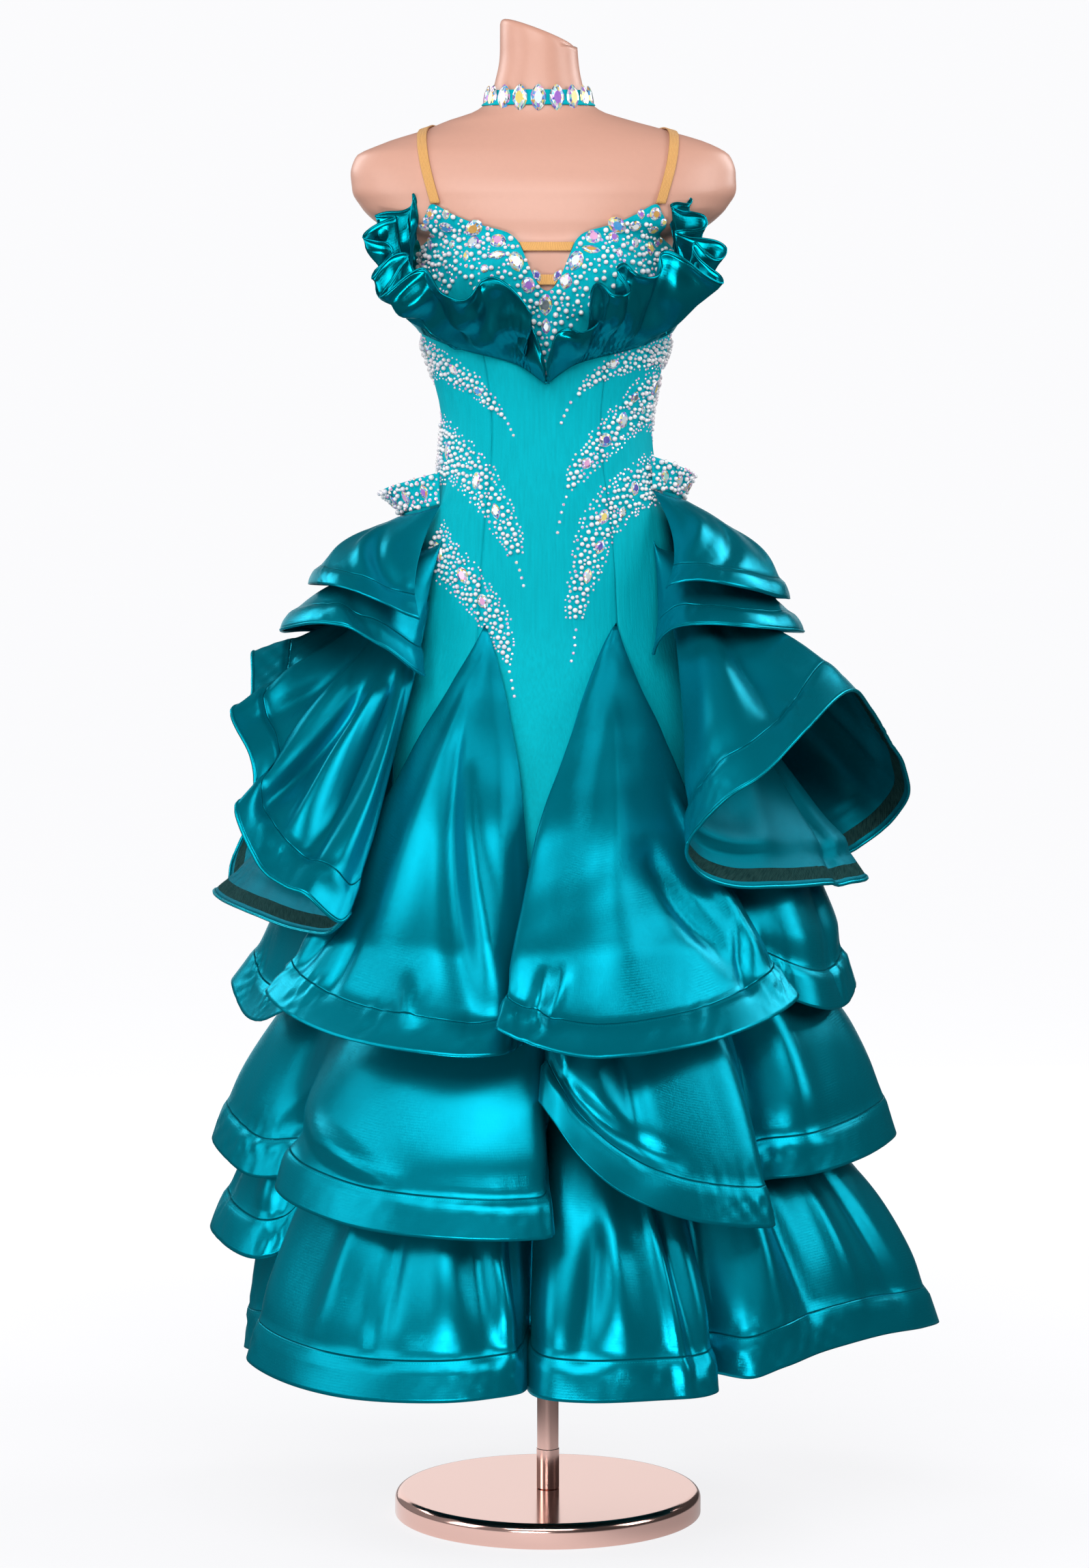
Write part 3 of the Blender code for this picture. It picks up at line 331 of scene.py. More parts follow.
def lay_cloth(slot, node, surface, grid, finishes, relief=None,
              closed=False, crowd=1.0, thick=0.0012, name=None):
    """A piece of cloth: a wall round a surface, its relief standing out along the normals.

    Two finishes are its outer and its inner side. Its free edge is given back, for a cord.
    """
    laid = lay(surface, *grid, closed, crowd)
    points, normals = laid.points, normals_of(laid.points, closed)
    tube = closed and np.ptp(points[-1, :, 0]) < TUBE_WIDTH
    centre = points.mean(axis=(0, 1)) if tube else np.zeros(3)
    if (normals * ((points - centre) * SIDEWAYS)).sum() < 0:
        normals = -normals
    if relief is not None:
        points = points + normals * relief(laid)[..., None]
    mesh = grid_mesh(name or f"{slot}_{node}", points, laid.run, laid.rise, finishes, normals)
    made = add_piece(mesh)
    wall = made.modifiers.new("Wall", "SOLIDIFY")
    wall.thickness = thick
    wall.offset = 0.0
    wall.use_quality_normals = True
    if len(finishes) > 1:
        wall.material_offset = 1
        wall.material_offset_rim = 0
    tie(made, slot, node)
    return points[-1]


print("cloth is laid with walls 1.2 mm thick")

# %% [markdown]
# ## Relief of the cloth
# Satin shows its folds by its sheen, so even a millimetre matters. Long folds are listed, each
# from one point to another, uneven in length and depth. A hem band is doubled cloth, so it
# stands proud. Where it was stitched the cloth draws in, which gives short upright puckers.

# %% Folds, bands and puckers
FOLD_SCALE = 1.6
SKIRT_BAND, HIP_BAND, DRAPE_BAND = 0.042, 0.030, 0.045  # how wide the doubled hems are


def crease(laid, count, fold):
    """A soft ridge between two points above the hem, or a trough where deep is below 0.

    A fold is where it starts and how high, where it ends and how high, its width and its depth.
    """
    first, low, last, high, wide, deep = np.array(fold) * (1.0, 0.001, 1.0, 0.001, 0.001, 0.001)
    laps = count if laid.closed else count - 1
    across, run = laid.across[-1], laid.run[-1]
    ends = [np.interp(spot / laps, across, run) for spot in (first, last)]
    along = np.array([ends[1] - ends[0], high - low])
    aside = laid.run - ends[0]
    if laid.closed:
        aside = (aside + laid.total / 2) % laid.total - laid.total / 2
    up = laid.rise - low
    share = np.clip((aside * along[0] + up * along[1]) / along.dot(along), 0.0, 1.0)
    off = np.hypot(aside - share * along[0], up - share * along[1])
    soft = np.sin(np.pi * (0.12 + 0.76 * share)) ** 0.8
    return deep * soft * np.exp(-((off / wide) ** 2))


def puckers(laid, size, seed):
    """Short upright ripples of uneven size along the hem, joining up where the piece is closed."""
    chance = np.random.default_rng(seed)
    total = np.zeros_like(laid.run)
    for _ in range(9):
        count = max(round(laid.total / size * chance.uniform(0.6, 1.7)), 2)
        turn = 2 * np.pi * (count * laid.run / laid.total + chance.uniform())
        total = total + np.sin(turn + chance.uniform(-8.0, 8.0) * laid.rise / size) / 3.0
    patches = np.zeros_like(laid.run)
    for count in (3, 5, 8):
        patches = patches + np.sin(2 * np.pi * (count * laid.run / laid.total + chance.uniform()))
    return total * fade(-1.2, 1.8, patches)


def unrest(points, size, seed):
    """A calm uneven field in space, made of slanting waves about size metres long."""
    chance = np.random.default_rng(seed)
    total = np.zeros(points.shape[:-1])
    for _ in range(7):
        way = chance.normal(size=3) * (1.0, 1.0, 0.6)
        way = way / np.linalg.norm(way) / (size * chance.uniform(0.7, 1.7))
        total = total + np.sin(2 * np.pi * (points @ way + chance.uniform()))
    return total / 2.6


def satin_relief(rows, folds, band, seed, uneven=0.0010, draw=0.0008, seam=0.06, tilt=-0.0008,
                 dip=0.0050):
    """Relief of a satin piece: its folds, its hem band and the puckers at the stitching."""
    def relief(laid):
        points, rise = laid.points, laid.rise
        total = uneven * unrest(points, 0.16, seed) + 0.0003 * unrest(points, 0.05, seed + 1)
        for fold in folds:
            total = total + FOLD_SCALE * crease(laid, len(rows[0]), fold)
        total = total * fade(0.0, seam, rise.max(axis=0) - rise)
        over = np.maximum(rise - band, 0.0) / 0.024
        tuck = np.exp(-(over**2)) * fade(band - 0.009, band, rise)
        total = total - dip * tuck * (0.55 + 0.45 * unrest(points * SIDEWAYS, 0.15, seed + 3))
        near = np.exp(-(((rise - 0.7 * band) / 0.030) ** 2))
        total = total + draw * near * puckers(laid, 0.022, seed + 2)
        total = total + 0.0009 * fade(band + 0.0035, band - 0.0005, rise)
        return total + tilt * np.clip(1.0 - rise / band, 0.0, 1.0) ** 1.15

    return relief


print("hem bands of", [round(1000 * band) for band in (SKIRT_BAND, HIP_BAND, DRAPE_BAND)], "mm")

# %% [markdown]
# ## Helpers for finishes
# A finish is a graph of nodes. An effect that several finishes share, such as a weave, is built
# once as a node group with named inputs and outputs. The shader itself stays in each material.
# A Wire stands for what flows out of a node, so that a sum of nodes can be read as one line.

# %% Node helpers
class Wire:
    """What flows out of a socket. A sum on it adds a Math node to the same tree."""

    def __init__(self, socket):
        self.socket = socket
        self.tree = socket.id_data

    def __add__(self, other):
        return calc("ADD", self, other)

    def __sub__(self, other):
        return calc("SUBTRACT", self, other)

    def __rsub__(self, other):
        return calc("SUBTRACT", other, self)

    def __mul__(self, other):
        return calc("MULTIPLY", self, other)

    def __truediv__(self, other):
        return calc("DIVIDE", self, other)


def feed(value, socket):
    """Links a wire to a socket, or sets a plain value on it."""
    if isinstance(value, Wire):
        value.tree.links.new(value.socket, socket)
    else:
        socket.default_value = value


def add_node(tree, kind, values=None, **settings):
    """A node with its settings, its inputs fed by name or place."""
    made = tree.nodes.new("ShaderNode" + kind)
    for name, setting in settings.items():
        setattr(made, name, setting)
    for place, value in (values or {}).items():
        feed(value, made.inputs[place])
    return made


def calc(operation, *values):
    """A Math node in the tree that its values come from."""
    tree = next(value.tree for value in values if isinstance(value, Wire))
    return Wire(add_node(tree, "Math", dict(enumerate(values)), operation=operation).outputs[0])


def mix(share, first, last):
    made = add_node(share.tree, "Mix", {0: share, 6: first, 7: last}, data_type="RGBA")
    return Wire(made.outputs[2])


def scale_colour(colour, tone):
    made = add_node(tone.tree, "VectorMath", {0: colour, "Scale": tone}, operation="SCALE")
    return Wire(made.outputs[0])


def noise(vector, scale, detail=2.0, stretch=(1.0, 1.0, 1.0)):
    """Noise between 0 and 1, drawn out along an axis where stretch is below 1."""
    drawn = add_node(vector.tree, "VectorMath", {0: vector, 1: stretch}, operation="MULTIPLY")
    values = {"Vector": Wire(drawn.outputs[0]), "Scale": scale, "Detail": detail}
    return Wire(add_node(vector.tree, "TexNoise", values).outputs[0])


def ramp(share, stops, interpolation="LINEAR"):
    made = add_node(share.tree, "ValToRGB", {0: share})
    made.color_ramp.interpolation = interpolation
    while len(made.color_ramp.elements) < len(stops):
        made.color_ramp.elements.new(0.5)
    for element, (spot, colour) in zip(made.color_ramp.elements, stops):
        element.position = spot
        element.color = (*colour, 1.0)
    return Wire(made.outputs[0])


def parts_of(vector):
    return [Wire(socket) for socket in add_node(vector.tree, "SeparateXYZ", {0: vector}).outputs]


def threads(value):
    """Rows of round threads side by side, from 0 to 1."""
    return calc("ABSOLUTE", calc("SINE", value))


def new_group(name, inputs, outputs):
    """A node group: what flows in, a vector and then numbers, and the sockets that it fills."""
    group = bpy.data.node_groups.new(name, "ShaderNodeTree")
    for order, label in enumerate(inputs):
        kind = "NodeSocketFloat" if order else "NodeSocketVector"
        group.interface.new_socket(label, in_out="INPUT", socket_type=kind)
    for label in outputs:
        group.interface.new_socket(label, in_out="OUTPUT", socket_type="NodeSocketFloat")
    source = group.nodes.new("NodeGroupInput").outputs
    wires = [Wire(source[label]) for label in inputs]
    return group, wires, group.nodes.new("NodeGroupOutput").inputs


def use(group, **values):
    """A group placed where its values come from; what flows out of it, by name."""
    tree = next(value.tree for value in values.values() if isinstance(value, Wire))
    made = add_node(tree, "Group", values, node_tree=group)
    return {socket.name: Wire(socket) for socket in made.outputs}


def paint(shader, **values):
    for label, value in values.items():
        feed(value, shader.inputs[label.replace("_", " ")])


def new_finish(name, **plain):
    """A material and its shader, with its plain values, and its Object and UV coordinates."""
    finish = bpy.data.materials.new(name)
    finish.use_nodes = True
    shader = finish.node_tree.nodes["Principled BSDF"]
    paint(shader, **plain)
    where = add_node(finish.node_tree, "TexCoord").outputs
    return finish, shader, Wire(where["Object"]), Wire(where["UV"])


def raise_bump(shader, height, distance, strength=1.0):
    values = {"Height": height, "Distance": distance, "Strength": strength}
    paint(shader, Normal=Wire(add_node(shader.id_data, "Bump", values).outputs[0]))


print("node helpers ready")

# %% [markdown]
# ## Shared effects
# Three groups serve most of the dress. One crosses threads at a given count, one gives an uneven
# tone, and one finds the hem: the doubled band, the groove at its edge and the stitches above
# it, all from the UV map's real lengths.

# %% Weave, tone and hem
GROOVE_HALF = 0.0011
STITCHES_DOWN, STITCH_HALF, STITCH_STEP, STITCH_SHARE = 0.0030, 0.00045, 0.0030, 0.62


def build_weave():
    group, (vector, count, floating), result = new_group(
        "thread_weave", ["Vector", "Threads", "Float"], ["Height"])
    x, y, _ = parts_of(vector)
    turns = count * math.pi
    weft = threads(y * (turns * floating))
    slub = noise(vector, count, 1.0, (0.7, 0.12, 0.7))
    feed(threads(x * turns) * (weft * 0.4 + 0.6) * 0.6 + slub, result["Height"])
    return group


def build_tone():
    group, (vector, scale, low, high), result = new_group(
        "uneven_tone", ["Vector", "Scale", "Low", "High"], ["Tone"])
    both = noise(vector, scale, 3.0) * 0.7 + noise(vector, scale * 60.0, 1.0) * 0.3
    feed(both * (high - low) + low, result["Tone"])
    return group


def build_hem():
    group, (cut, band), result = new_group(
        "hem_band", ["Cut", "Band"], ["Inside", "Groove", "Stitch"])
    run, rise, _ = parts_of(cut)
    over = rise - band
    feed(calc("LESS_THAN", over, 0.0), result["Inside"])
    groove = 1.0 - calc("ABSOLUTE", over) / GROOVE_HALF
    feed(calc("MAXIMUM", groove, 0.0), result["Groove"])
    on_line = calc("LESS_THAN", calc("ABSOLUTE", over + STITCHES_DOWN), STITCH_HALF)
    dash = calc("LESS_THAN", calc("FRACT", run / STITCH_STEP), STITCH_SHARE)
    feed(on_line * dash, result["Stitch"])
    return group


WEAVE = build_weave()
TONE = build_tone()
HEM = build_hem()
print("shared effects:", WEAVE.name, TONE.name, HEM.name)

# %% [markdown]
# ## Satin
# Duchess satin is a heavy weave whose threads float on the face, so it shines almost like brushed
# metal, in its own colour. That is why it gets a high Metallic value with a fairly low
# roughness: the bright folds stay teal instead of turning white. The inner side of the drapes
# carries a dark horsehair tape, a stiff open net that keeps their edges standing.

# %% Satin and its inner side
DEEP_TEAL = (0.0, 0.248, 0.338, 1.0)
LIT_TEAL = (0.0, 0.42, 0.54, 1.0)
INNER_TEAL = (0.0, 0.150, 0.205)
SATIN_THREADS = {"Threads": 1400.0, "Float": 0.25}
TAPE_START, TAPE_END = 0.006, 0.021


def dim(colour, share):
    return tuple(share * part for part in colour[:3]) + (1.0,)


def make_satin(name, band, base=DEEP_TEAL, roughness=0.26, metallic=0.70):
    finish, shader, there, cut = new_finish(
        name, Metallic=metallic, Specular_IOR_Level=0.1, Sheen_Weight=0.05, Sheen_Roughness=0.4,
        Sheen_Tint=(0.0, 0.8, 0.9, 1.0), Specular_Tint=(0.35, 0.85, 0.95, 1.0)
    )
    hem = use(HEM, Cut=cut, Band=band)
    # Painted shade: the doubled band is drawn 2 per cent darker than the cloth above it.
    colour = mix(hem["Inside"], base, dim(base, 0.98)) if band else base
    colour = mix(hem["Stitch"] * 0.55, colour, LIT_TEAL)
    # Painted shade: the groove at the band's top edge is drawn dark, at 30 per cent of the satin's
    # colour.
    colour = mix(hem["Groove"] * 0.7, colour, dim(base, 0.30))
    tone = use(TONE, Vector=there, Scale=5.0, Low=0.92, High=1.08)["Tone"]
    speck = noise(there, 700.0, 1.0)
    paint(shader, Base_Color=scale_colour(colour, tone), Roughness=(speck - 0.5) * 0.04 + roughness)
    weave = use(WEAVE, Vector=cut, **SATIN_THREADS)["Height"]
    small = noise(cut, 60.0, 2.0, (1.0, 0.35, 1.0))
    height = weave * 0.06 - hem["Groove"] * 0.9 + hem["Stitch"] * 0.5 + small * 0.10
    raise_bump(shader, height, 0.0009)
    return finish


def make_satin_inside(name, tape):
    """The inner side; tape is how far up the horsehair on it reaches."""
    finish, shader, there, cut = new_finish(
        name, Metallic=0.5, Specular_IOR_Level=0.05, Specular_Tint=(0.0, 0.5, 0.6, 1.0))
    run, rise, _ = parts_of(cut)
    taped = calc("LESS_THAN", rise, tape) * calc("GREATER_THAN", rise, TAPE_START if tape else -1.0)
    slant = Wire(add_node(cut.tree, "CombineXYZ", {0: run + rise, 1: run - rise}).outputs[0])
    net = use(WEAVE, Vector=slant, Threads=620.0, Float=1.0)["Height"]
    wiry = ramp(net, [(0.2, (0.001, 0.009, 0.010)), (0.6, (0.004, 0.032, 0.034)),
                      (0.97, (0.03, 0.085, 0.08))])
    tone = use(TONE, Vector=there, Scale=5.0, Low=0.85, High=1.12)["Tone"]
    paint(shader, Base_Color=mix(taped, scale_colour(INNER_TEAL, tone), wiry),
          Roughness=taped * 0.12 + 0.42)
    weave = use(WEAVE, Vector=cut, **SATIN_THREADS)["Height"]
    raise_bump(shader, weave * 0.12 + taped * net, 0.0006)
    return finish


satin_skirt = make_satin("satin_skirt", SKIRT_BAND)
satin_hip = make_satin("satin_hip", HIP_BAND)
satin_drape = make_satin("satin_drape", DRAPE_BAND)
satin_frill = make_satin("satin_frill", 0.0, (0.0, 0.262, 0.330, 1.0), 0.20, 0.92)
satin_piping = make_satin("satin_piping", 0.0, (0.0, 0.30, 0.39, 1.0))
satin_inside = make_satin_inside("satin_inside", 0.0)
satin_taped = make_satin_inside("satin_taped", TAPE_END)
print("satins:", len([m for m in bpy.data.materials if m.name.startswith("satin")]))

# %% [markdown]
# ## Crepe, lining and elastic
# Stretch crepe is matt, so it stays a plain dielectric with some sheen. Its twisted yarn leaves fine
# broken lines that run up the body, made here from noise drawn out along Z. The lining is the
# same teal, duller. Elastic is tan, with ribs along its length.

# %% Matt cloths
RIB_TURNS, KNIT_TURNS = 1900.0, 2600.0  # radians of the elastic's threads in a metre


def make_crepe(name, colour):
    finish, shader, there, _ = new_finish(
        name, Specular_IOR_Level=0.05, Sheen_Weight=0.05, Sheen_Roughness=0.5,
        Sheen_Tint=(0.0, 0.9, 1.0, 1.0)
    )
    lines = noise(there, 420.0, 2.0, (1.0, 1.0, 0.035))
    broken = noise(there, 1500.0, 1.0, (1.0, 1.0, 0.25))
    tone = use(TONE, Vector=there, Scale=4.0, Low=0.93, High=1.07)["Tone"]
    streak = (lines - 0.5) * 0.30 + tone
    paint(shader, Base_Color=scale_colour(colour, streak), Roughness=broken * 0.15 + 0.62)
    raise_bump(shader, lines + broken * 0.5, 0.0006, 0.7)
    return finish


def make_elastic():
    finish, shader, there, cut = new_finish(
        "tan_elastic", Specular_IOR_Level=0.3, Sheen_Weight=0.2, Sheen_Roughness=0.4
    )
    run, rise, _ = parts_of(cut)
    ribs = threads(run * RIB_TURNS) * (threads(rise * KNIT_TURNS) * 0.4 + 0.6)
    tone = use(TONE, Vector=there, Scale=20.0, Low=0.9, High=1.1)["Tone"]
    tan = scale_colour((0.80, 0.42, 0.135), (ribs * 0.22 + 0.84) * tone)
    paint(shader, Base_Color=tan, Roughness=ribs * -0.15 + 0.66)
    raise_bump(shader, ribs, 0.0004)
    return finish


crepe = make_crepe("teal_crepe", (0.0, 0.405, 0.485))
lining = make_crepe("teal_lining", (0.0, 0.20, 0.24))
elastic = make_elastic()
print("crepe, lining and elastic ready")

# %% [markdown]
# ## Form and stand
# The form is lacquered: an even flesh pink with a thin clear coat and the faint mottling of
# sprayed paint. The stand is rose gold plate, a mirror whose roughness varies a little.

# %% Lacquer and rose gold
def make_lacquer():
    finish, shader, there, _ = new_finish("form_lacquer", Specular_IOR_Level=0.45,
                                          Coat_Roughness=0.28)
    tone = use(TONE, Vector=there, Scale=3.0, Low=0.94, High=1.05)["Tone"]
    orange_peel = noise(there, 260.0, 1.0)
    warm = noise(there, 2.2, 1.0)
    colour = mix(warm, (0.72, 0.40, 0.305, 1.0), (0.62, 0.315, 0.235, 1.0))
    paint(shader, Base_Color=scale_colour(colour, tone), Roughness=orange_peel * 0.10 + 0.40,
          Coat_Weight=warm * 0.1 + 0.15)
    raise_bump(shader, orange_peel, 0.00006)
    return finish


def make_rose_gold():
    finish, shader, there, _ = new_finish("rose_gold", Metallic=1.0)
    smear = noise(there, 9.0, 4.0)
    grain = noise(there, 900.0, 1.0)
    tone = use(TONE, Vector=there, Scale=8.0, Low=0.97, High=1.03)["Tone"]
    paint(shader, Base_Color=scale_colour((0.88, 0.57, 0.50), tone),
          Roughness=smear * 0.05 + grain * 0.02 + 0.10)
    raise_bump(shader, smear, 0.00005)
    return finish


lacquer = make_lacquer()
rose_gold = make_rose_gold()
print("lacquer and rose gold ready")

# %% [markdown]
# ## Pearls and cut stones
# A pearl is a soft white with a clear skin and a hint of pink or grey, different for each bead. A
# cut stone shows another colour on every facet: the tints of its rainbow coating, and painted
# reflection, near-black and near-white facets that stand for the dark reflections and glints of
# cut crystal. Each facet carries a random number in an attribute, and a colour ramp turns it into
# white, gold, blue or violet. Pearls and stones also glow faintly, which is painted light.

# %% Beads' finishes
def own_tint(shader):
    """The number that each bead or facet carries."""
    return Wire(add_node(shader.id_data, "Attribute", attribute_name="tint").outputs["Fac"])


def make_pearl():
    # Emission is painted light: a faint glow in the pearl's own colour keeps the pearls bright.
    finish, shader, there, _ = new_finish(
        "pearl_white", Specular_IOR_Level=0.6, Coat_Weight=0.6, Coat_Roughness=0.08,
        Sheen_Weight=0.3, Sheen_Roughness=0.3, Sheen_Tint=(1.0, 0.85, 0.92, 1.0),
        Emission_Strength=0.04
    )
    colour = ramp(own_tint(shader), [(0.0, (0.80, 0.80, 0.82)), (0.4, (0.87, 0.85, 0.86)),
                                     (0.75, (0.84, 0.73, 0.78)), (1.0, (0.68, 0.72, 0.80))])
    skin = noise(there, 600.0, 1.0)
    paint(shader, Base_Color=colour, Emission_Color=colour, Roughness=skin * 0.08 + 0.22)
    return finish


def make_stone(name, stops):
    # Emission is painted light: the stones glow faintly in the colours of their facets.
    finish, shader, there, _ = new_finish(
        name, Metallic=0.15, Specular_IOR_Level=0.6, Coat_Weight=0.45, Coat_Roughness=0.02,
        Emission_Strength=0.08
    )
    cloud = noise(there, 260.0, 1.0)
    colour = ramp(own_tint(shader), stops, "CONSTANT")
    pale = mix(cloud * 0.15, colour, (0.95, 0.97, 1.0, 1.0))
    paint(shader, Base_Color=pale, Emission_Color=pale, Roughness=cloud * 0.06 + 0.05)
    return finish


pearl = make_pearl()
# Painted reflection: the near-black stop stands for dark reflections in the facets and the near-white
# stops for glints; the other stops are the coating's tints.
rainbow = make_stone("rainbow_stone", [
    (0.0, (0.56, 0.63, 0.66)), (0.17, (0.82, 0.66, 0.14)), (0.27, (0.64, 0.32, 0.03)),
    (0.34, (0.32, 0.41, 0.44)), (0.44, (0.02, 0.32, 0.72)), (0.53, (0.05, 0.04, 0.38)),
    (0.60, (0.36, 0.12, 0.62)), (0.69, (0.76, 0.34, 0.62)), (0.76, (0.08, 0.12, 0.14)),
    (0.84, (0.28, 0.66, 0.57)), (0.91, (0.95, 0.95, 0.95)),
])
# Painted reflection: the white stops stand for glints; the pinks, lilac and peach are the stones' own
# tints.
blush = make_stone("blush_stone", [
    (0.0, (0.95, 0.74, 0.82)), (0.22, (0.82, 0.30, 0.55)), (0.42, (0.97, 0.88, 0.92)),
    (0.58, (0.72, 0.48, 0.88)), (0.74, (0.95, 0.72, 0.52)), (0.86, (1.0, 1.0, 1.0)),
])
print("bead finishes ready")

# %% [markdown]
# ## Stand
# The base is one turned plate: half of its section, spun round the pole's line, with a rounded
# upper rim that catches the light. The pole is a tube with a narrow chamfer at its foot.

# %% Base plate and pole
BASE_RADIUS, BASE_THICKNESS, BASE_EDGE, BASE_FOOT = 0.165, 0.026, 0.009, 0.002
POLE_RADIUS, FORM_BOTTOM, SLEEVE_HEIGHT, SLEEVE_STEP = 0.0123, 0.880, 0.043, 0.0007
POLE_CHAMFER = 0.0006


def spin_profile(name, profile, steps, finish):
    """Half a section, turned once round the Z axis."""
    form = bmesh.new()
    points = [form.verts.new((x, 0.0, z)) for x, z in profile]
    for first, last in zip(points, points[1:]):
        form.edges.new((first, last))
    bmesh.ops.spin(form, geom=form.verts[:] + form.edges[:], axis=(0, 0, 1), cent=(0, 0, 0),
                   angle=2 * math.pi, steps=steps, use_merge=True)
    bmesh.ops.remove_doubles(form, verts=form.verts, dist=MERGE)
    bmesh.ops.recalc_face_normals(form, faces=form.faces)
    mesh = pour(form, bpy.data.meshes.new(name))
    mesh.shade_smooth()
    mesh.materials.append(finish)
    return add_piece(mesh)


def corner(x, z, radius, first, last, steps):
    """Points of a rounded corner about its centre, from one angle to another in degrees."""
    turns = [math.radians(blend(first, last, i / steps)) for i in range(steps + 1)]
    return [(x + radius * math.cos(turn), z + radius * math.sin(turn)) for turn in turns]


def make_stand():
    inner = BASE_RADIUS - BASE_EDGE
    profile = [(x, BASE_THICKNESS) for x in (0.0, 0.06, 0.12, inner - 0.002)]
    profile += corner(inner, BASE_THICKNESS - BASE_EDGE, BASE_EDGE, 90.0, 0.0, 12)
    profile += [(BASE_RADIUS, 0.008)]
    profile += corner(BASE_RADIUS - BASE_FOOT, BASE_FOOT, BASE_FOOT, 0.0, -90.0, 4)
    profile += [(BASE_RADIUS - 0.006, 0.0), (0.0, 0.0)]
    base = spin_profile("stand_base", profile, 144, rose_gold)
    foot = BASE_THICKNESS + SEAM_GAP
    top = FORM_BOTTOM - SEAM_GAP
    slim = POLE_RADIUS - SLEEVE_STEP
    profile = [(0.0, foot), (POLE_RADIUS - POLE_CHAMFER, foot), (POLE_RADIUS, foot + POLE_CHAMFER),
               (POLE_RADIUS, foot + SLEEVE_HEIGHT), (slim, foot + SLEEVE_HEIGHT + POLE_CHAMFER),
               (slim, top), (0.0, top)]
    pole = spin_profile("stand_pole", profile, 56, rose_gold)
    for made, node in ((base, "base_plate"), (pole, "pole")):
        tie(made, "stand_metal", node)
        made.data.set_sharp_from_angle(angle=math.radians(40.0))
    print("base", 2000 * BASE_RADIUS, "mm across")


make_stand()

# %% [markdown]
# ## Dress form
# The form is one smooth closed shell without arms or head. Its rings follow the figure's levels,
# slimmer where the dress covers it. The neck ends in a slanting flat cut with a soft rim.

# %% The form
FORM_END = [(0.880, 0.0), (0.880, 0.35), (0.880, 0.70), (0.884, 0.84), (0.895, 0.93), (0.915, 0.985)]
FORM_HIPS = 0.945
NECK_CUT = [(0.0, 1.0), (0.003, 0.985), (0.0052, 0.955), (0.0068, 0.91), (0.0075, 0.86), (0.0077, 0.7),
            (0.0078, 0.45), (0.0078, 0.2), (0.0078, 0.0)]
NECK_SLOPE = 0.38
SLIMMER, SOFTER_BUST = 0.0012, 0.013


def seal(mesh):
    """Closes any open rim and turns every face outwards."""
    form = form_of(mesh)
    bmesh.ops.holes_fill(form, edges=[edge for edge in form.edges if edge.is_boundary])
    bmesh.ops.recalc_face_normals(form, faces=form.faces)
    pour(form, mesh)


def form_points():
    angles = np.linspace(0.0, 360.0, 113)
    rings = []
    for height, scale in FORM_END:
        ring = figure(angles, np.full_like(angles, FORM_HIPS), 0.0) * (scale, scale, 1.0)
        ring[:, 2] = height
        rings.append(ring)
    for height in np.concatenate([np.linspace(0.94, 1.34, 40), np.linspace(1.346, 1.566, 62)]):
        slimmer = SLIMMER * fade(1.412, 1.40, height)
        rings.append(figure(angles, height, -slimmer, SOFTER_BUST))
    neck = figure(angles, LEVEL[-1])
    for lift, scale in NECK_CUT:
        ring = neck.copy()
        ring[:, 0] = CENTRE[-1] + (neck[:, 0] - CENTRE[-1]) * scale
        ring[:, 1] *= scale
        ring[:, 2] += lift - NECK_SLOPE * (ring[:, 0] - CENTRE[-1])
        rings.append(ring)
    return np.array(rings[::-1])


def make_form():
    points = form_points()
    rows, columns = points.shape[:2]
    cut = np.meshgrid(np.linspace(0, 1, columns), np.linspace(1, 0, rows))
    mesh = grid_mesh("lacquered_form", points, *cut, [lacquer], points * SIDEWAYS)
    seal(mesh)
    tie(add_piece(mesh), "form_skin", "dress_form")
    print("form:", len(mesh.polygons), "faces")


make_form()

# %% [markdown]
# ## Bodice and panels
# The close-fitting part is cut in panels and stretched over the form. The bodice ends at the
# bust seam, which dips to a point in front. The seams under the bust run down to the godets'
# points, and show as fine pressed-in lines. A top edge is turned in and stitched.

# %% Edges of the bodice
NECK_EDGE = np.array([
    (0.0, 1.306), (2.5, 1.309), (6.0, 1.322), (10.0, 1.345), (12.5, 1.358), (16.0, 1.366),
    (25.0, 1.376), (31.0, 1.386), (36.5, 1.397), (41.0, 1.388), (50.0, 1.374), (61.0, 1.364),
    (75.0, 1.356), (90.0, 1.349), (120.0, 1.340), (150.0, 1.333), (180.0, 1.330),
]).T
NOTCH = NECK_EDGE[::-1, :5]
BUST_SEAM = np.array([
    (0.0, 1.211), (15.0, 1.232), (38.0, 1.245), (78.0, 1.266), (110.0, 1.272), (150.0, 1.276),
    (180.0, 1.278),
]).T
PANEL_LEVELS = np.array([1.160, 1.080, 1.020, 0.960, 0.900, 0.830, 0.760, 0.700, 0.645])
FRONT_SEAM, BACK_SEAM, SIDE_SEAM = 31.0, 149.0, 90.0
WAIST_RADIUS, SEAM_DEPTH, SEAM_WIDTH = 0.11, 0.0010, 0.0022


def turn_of(angle):
    return np.abs((angle + 180.0) % 360.0 - 180.0)


def neckline(angle):
    return smooth(*NECK_EDGE, turn_of(angle))


def bust_seam(angle):
    return smooth(*BUST_SEAM, turn_of(angle))


def bodice_surface(first, last):
    def surface(across, down):
        angle = blend(first + 0.1, last - 0.1, across)
        return figure(angle, blend(neckline(angle), bust_seam(angle) + SEAM_GAP, down), CLOTH_OUT)

    return surface


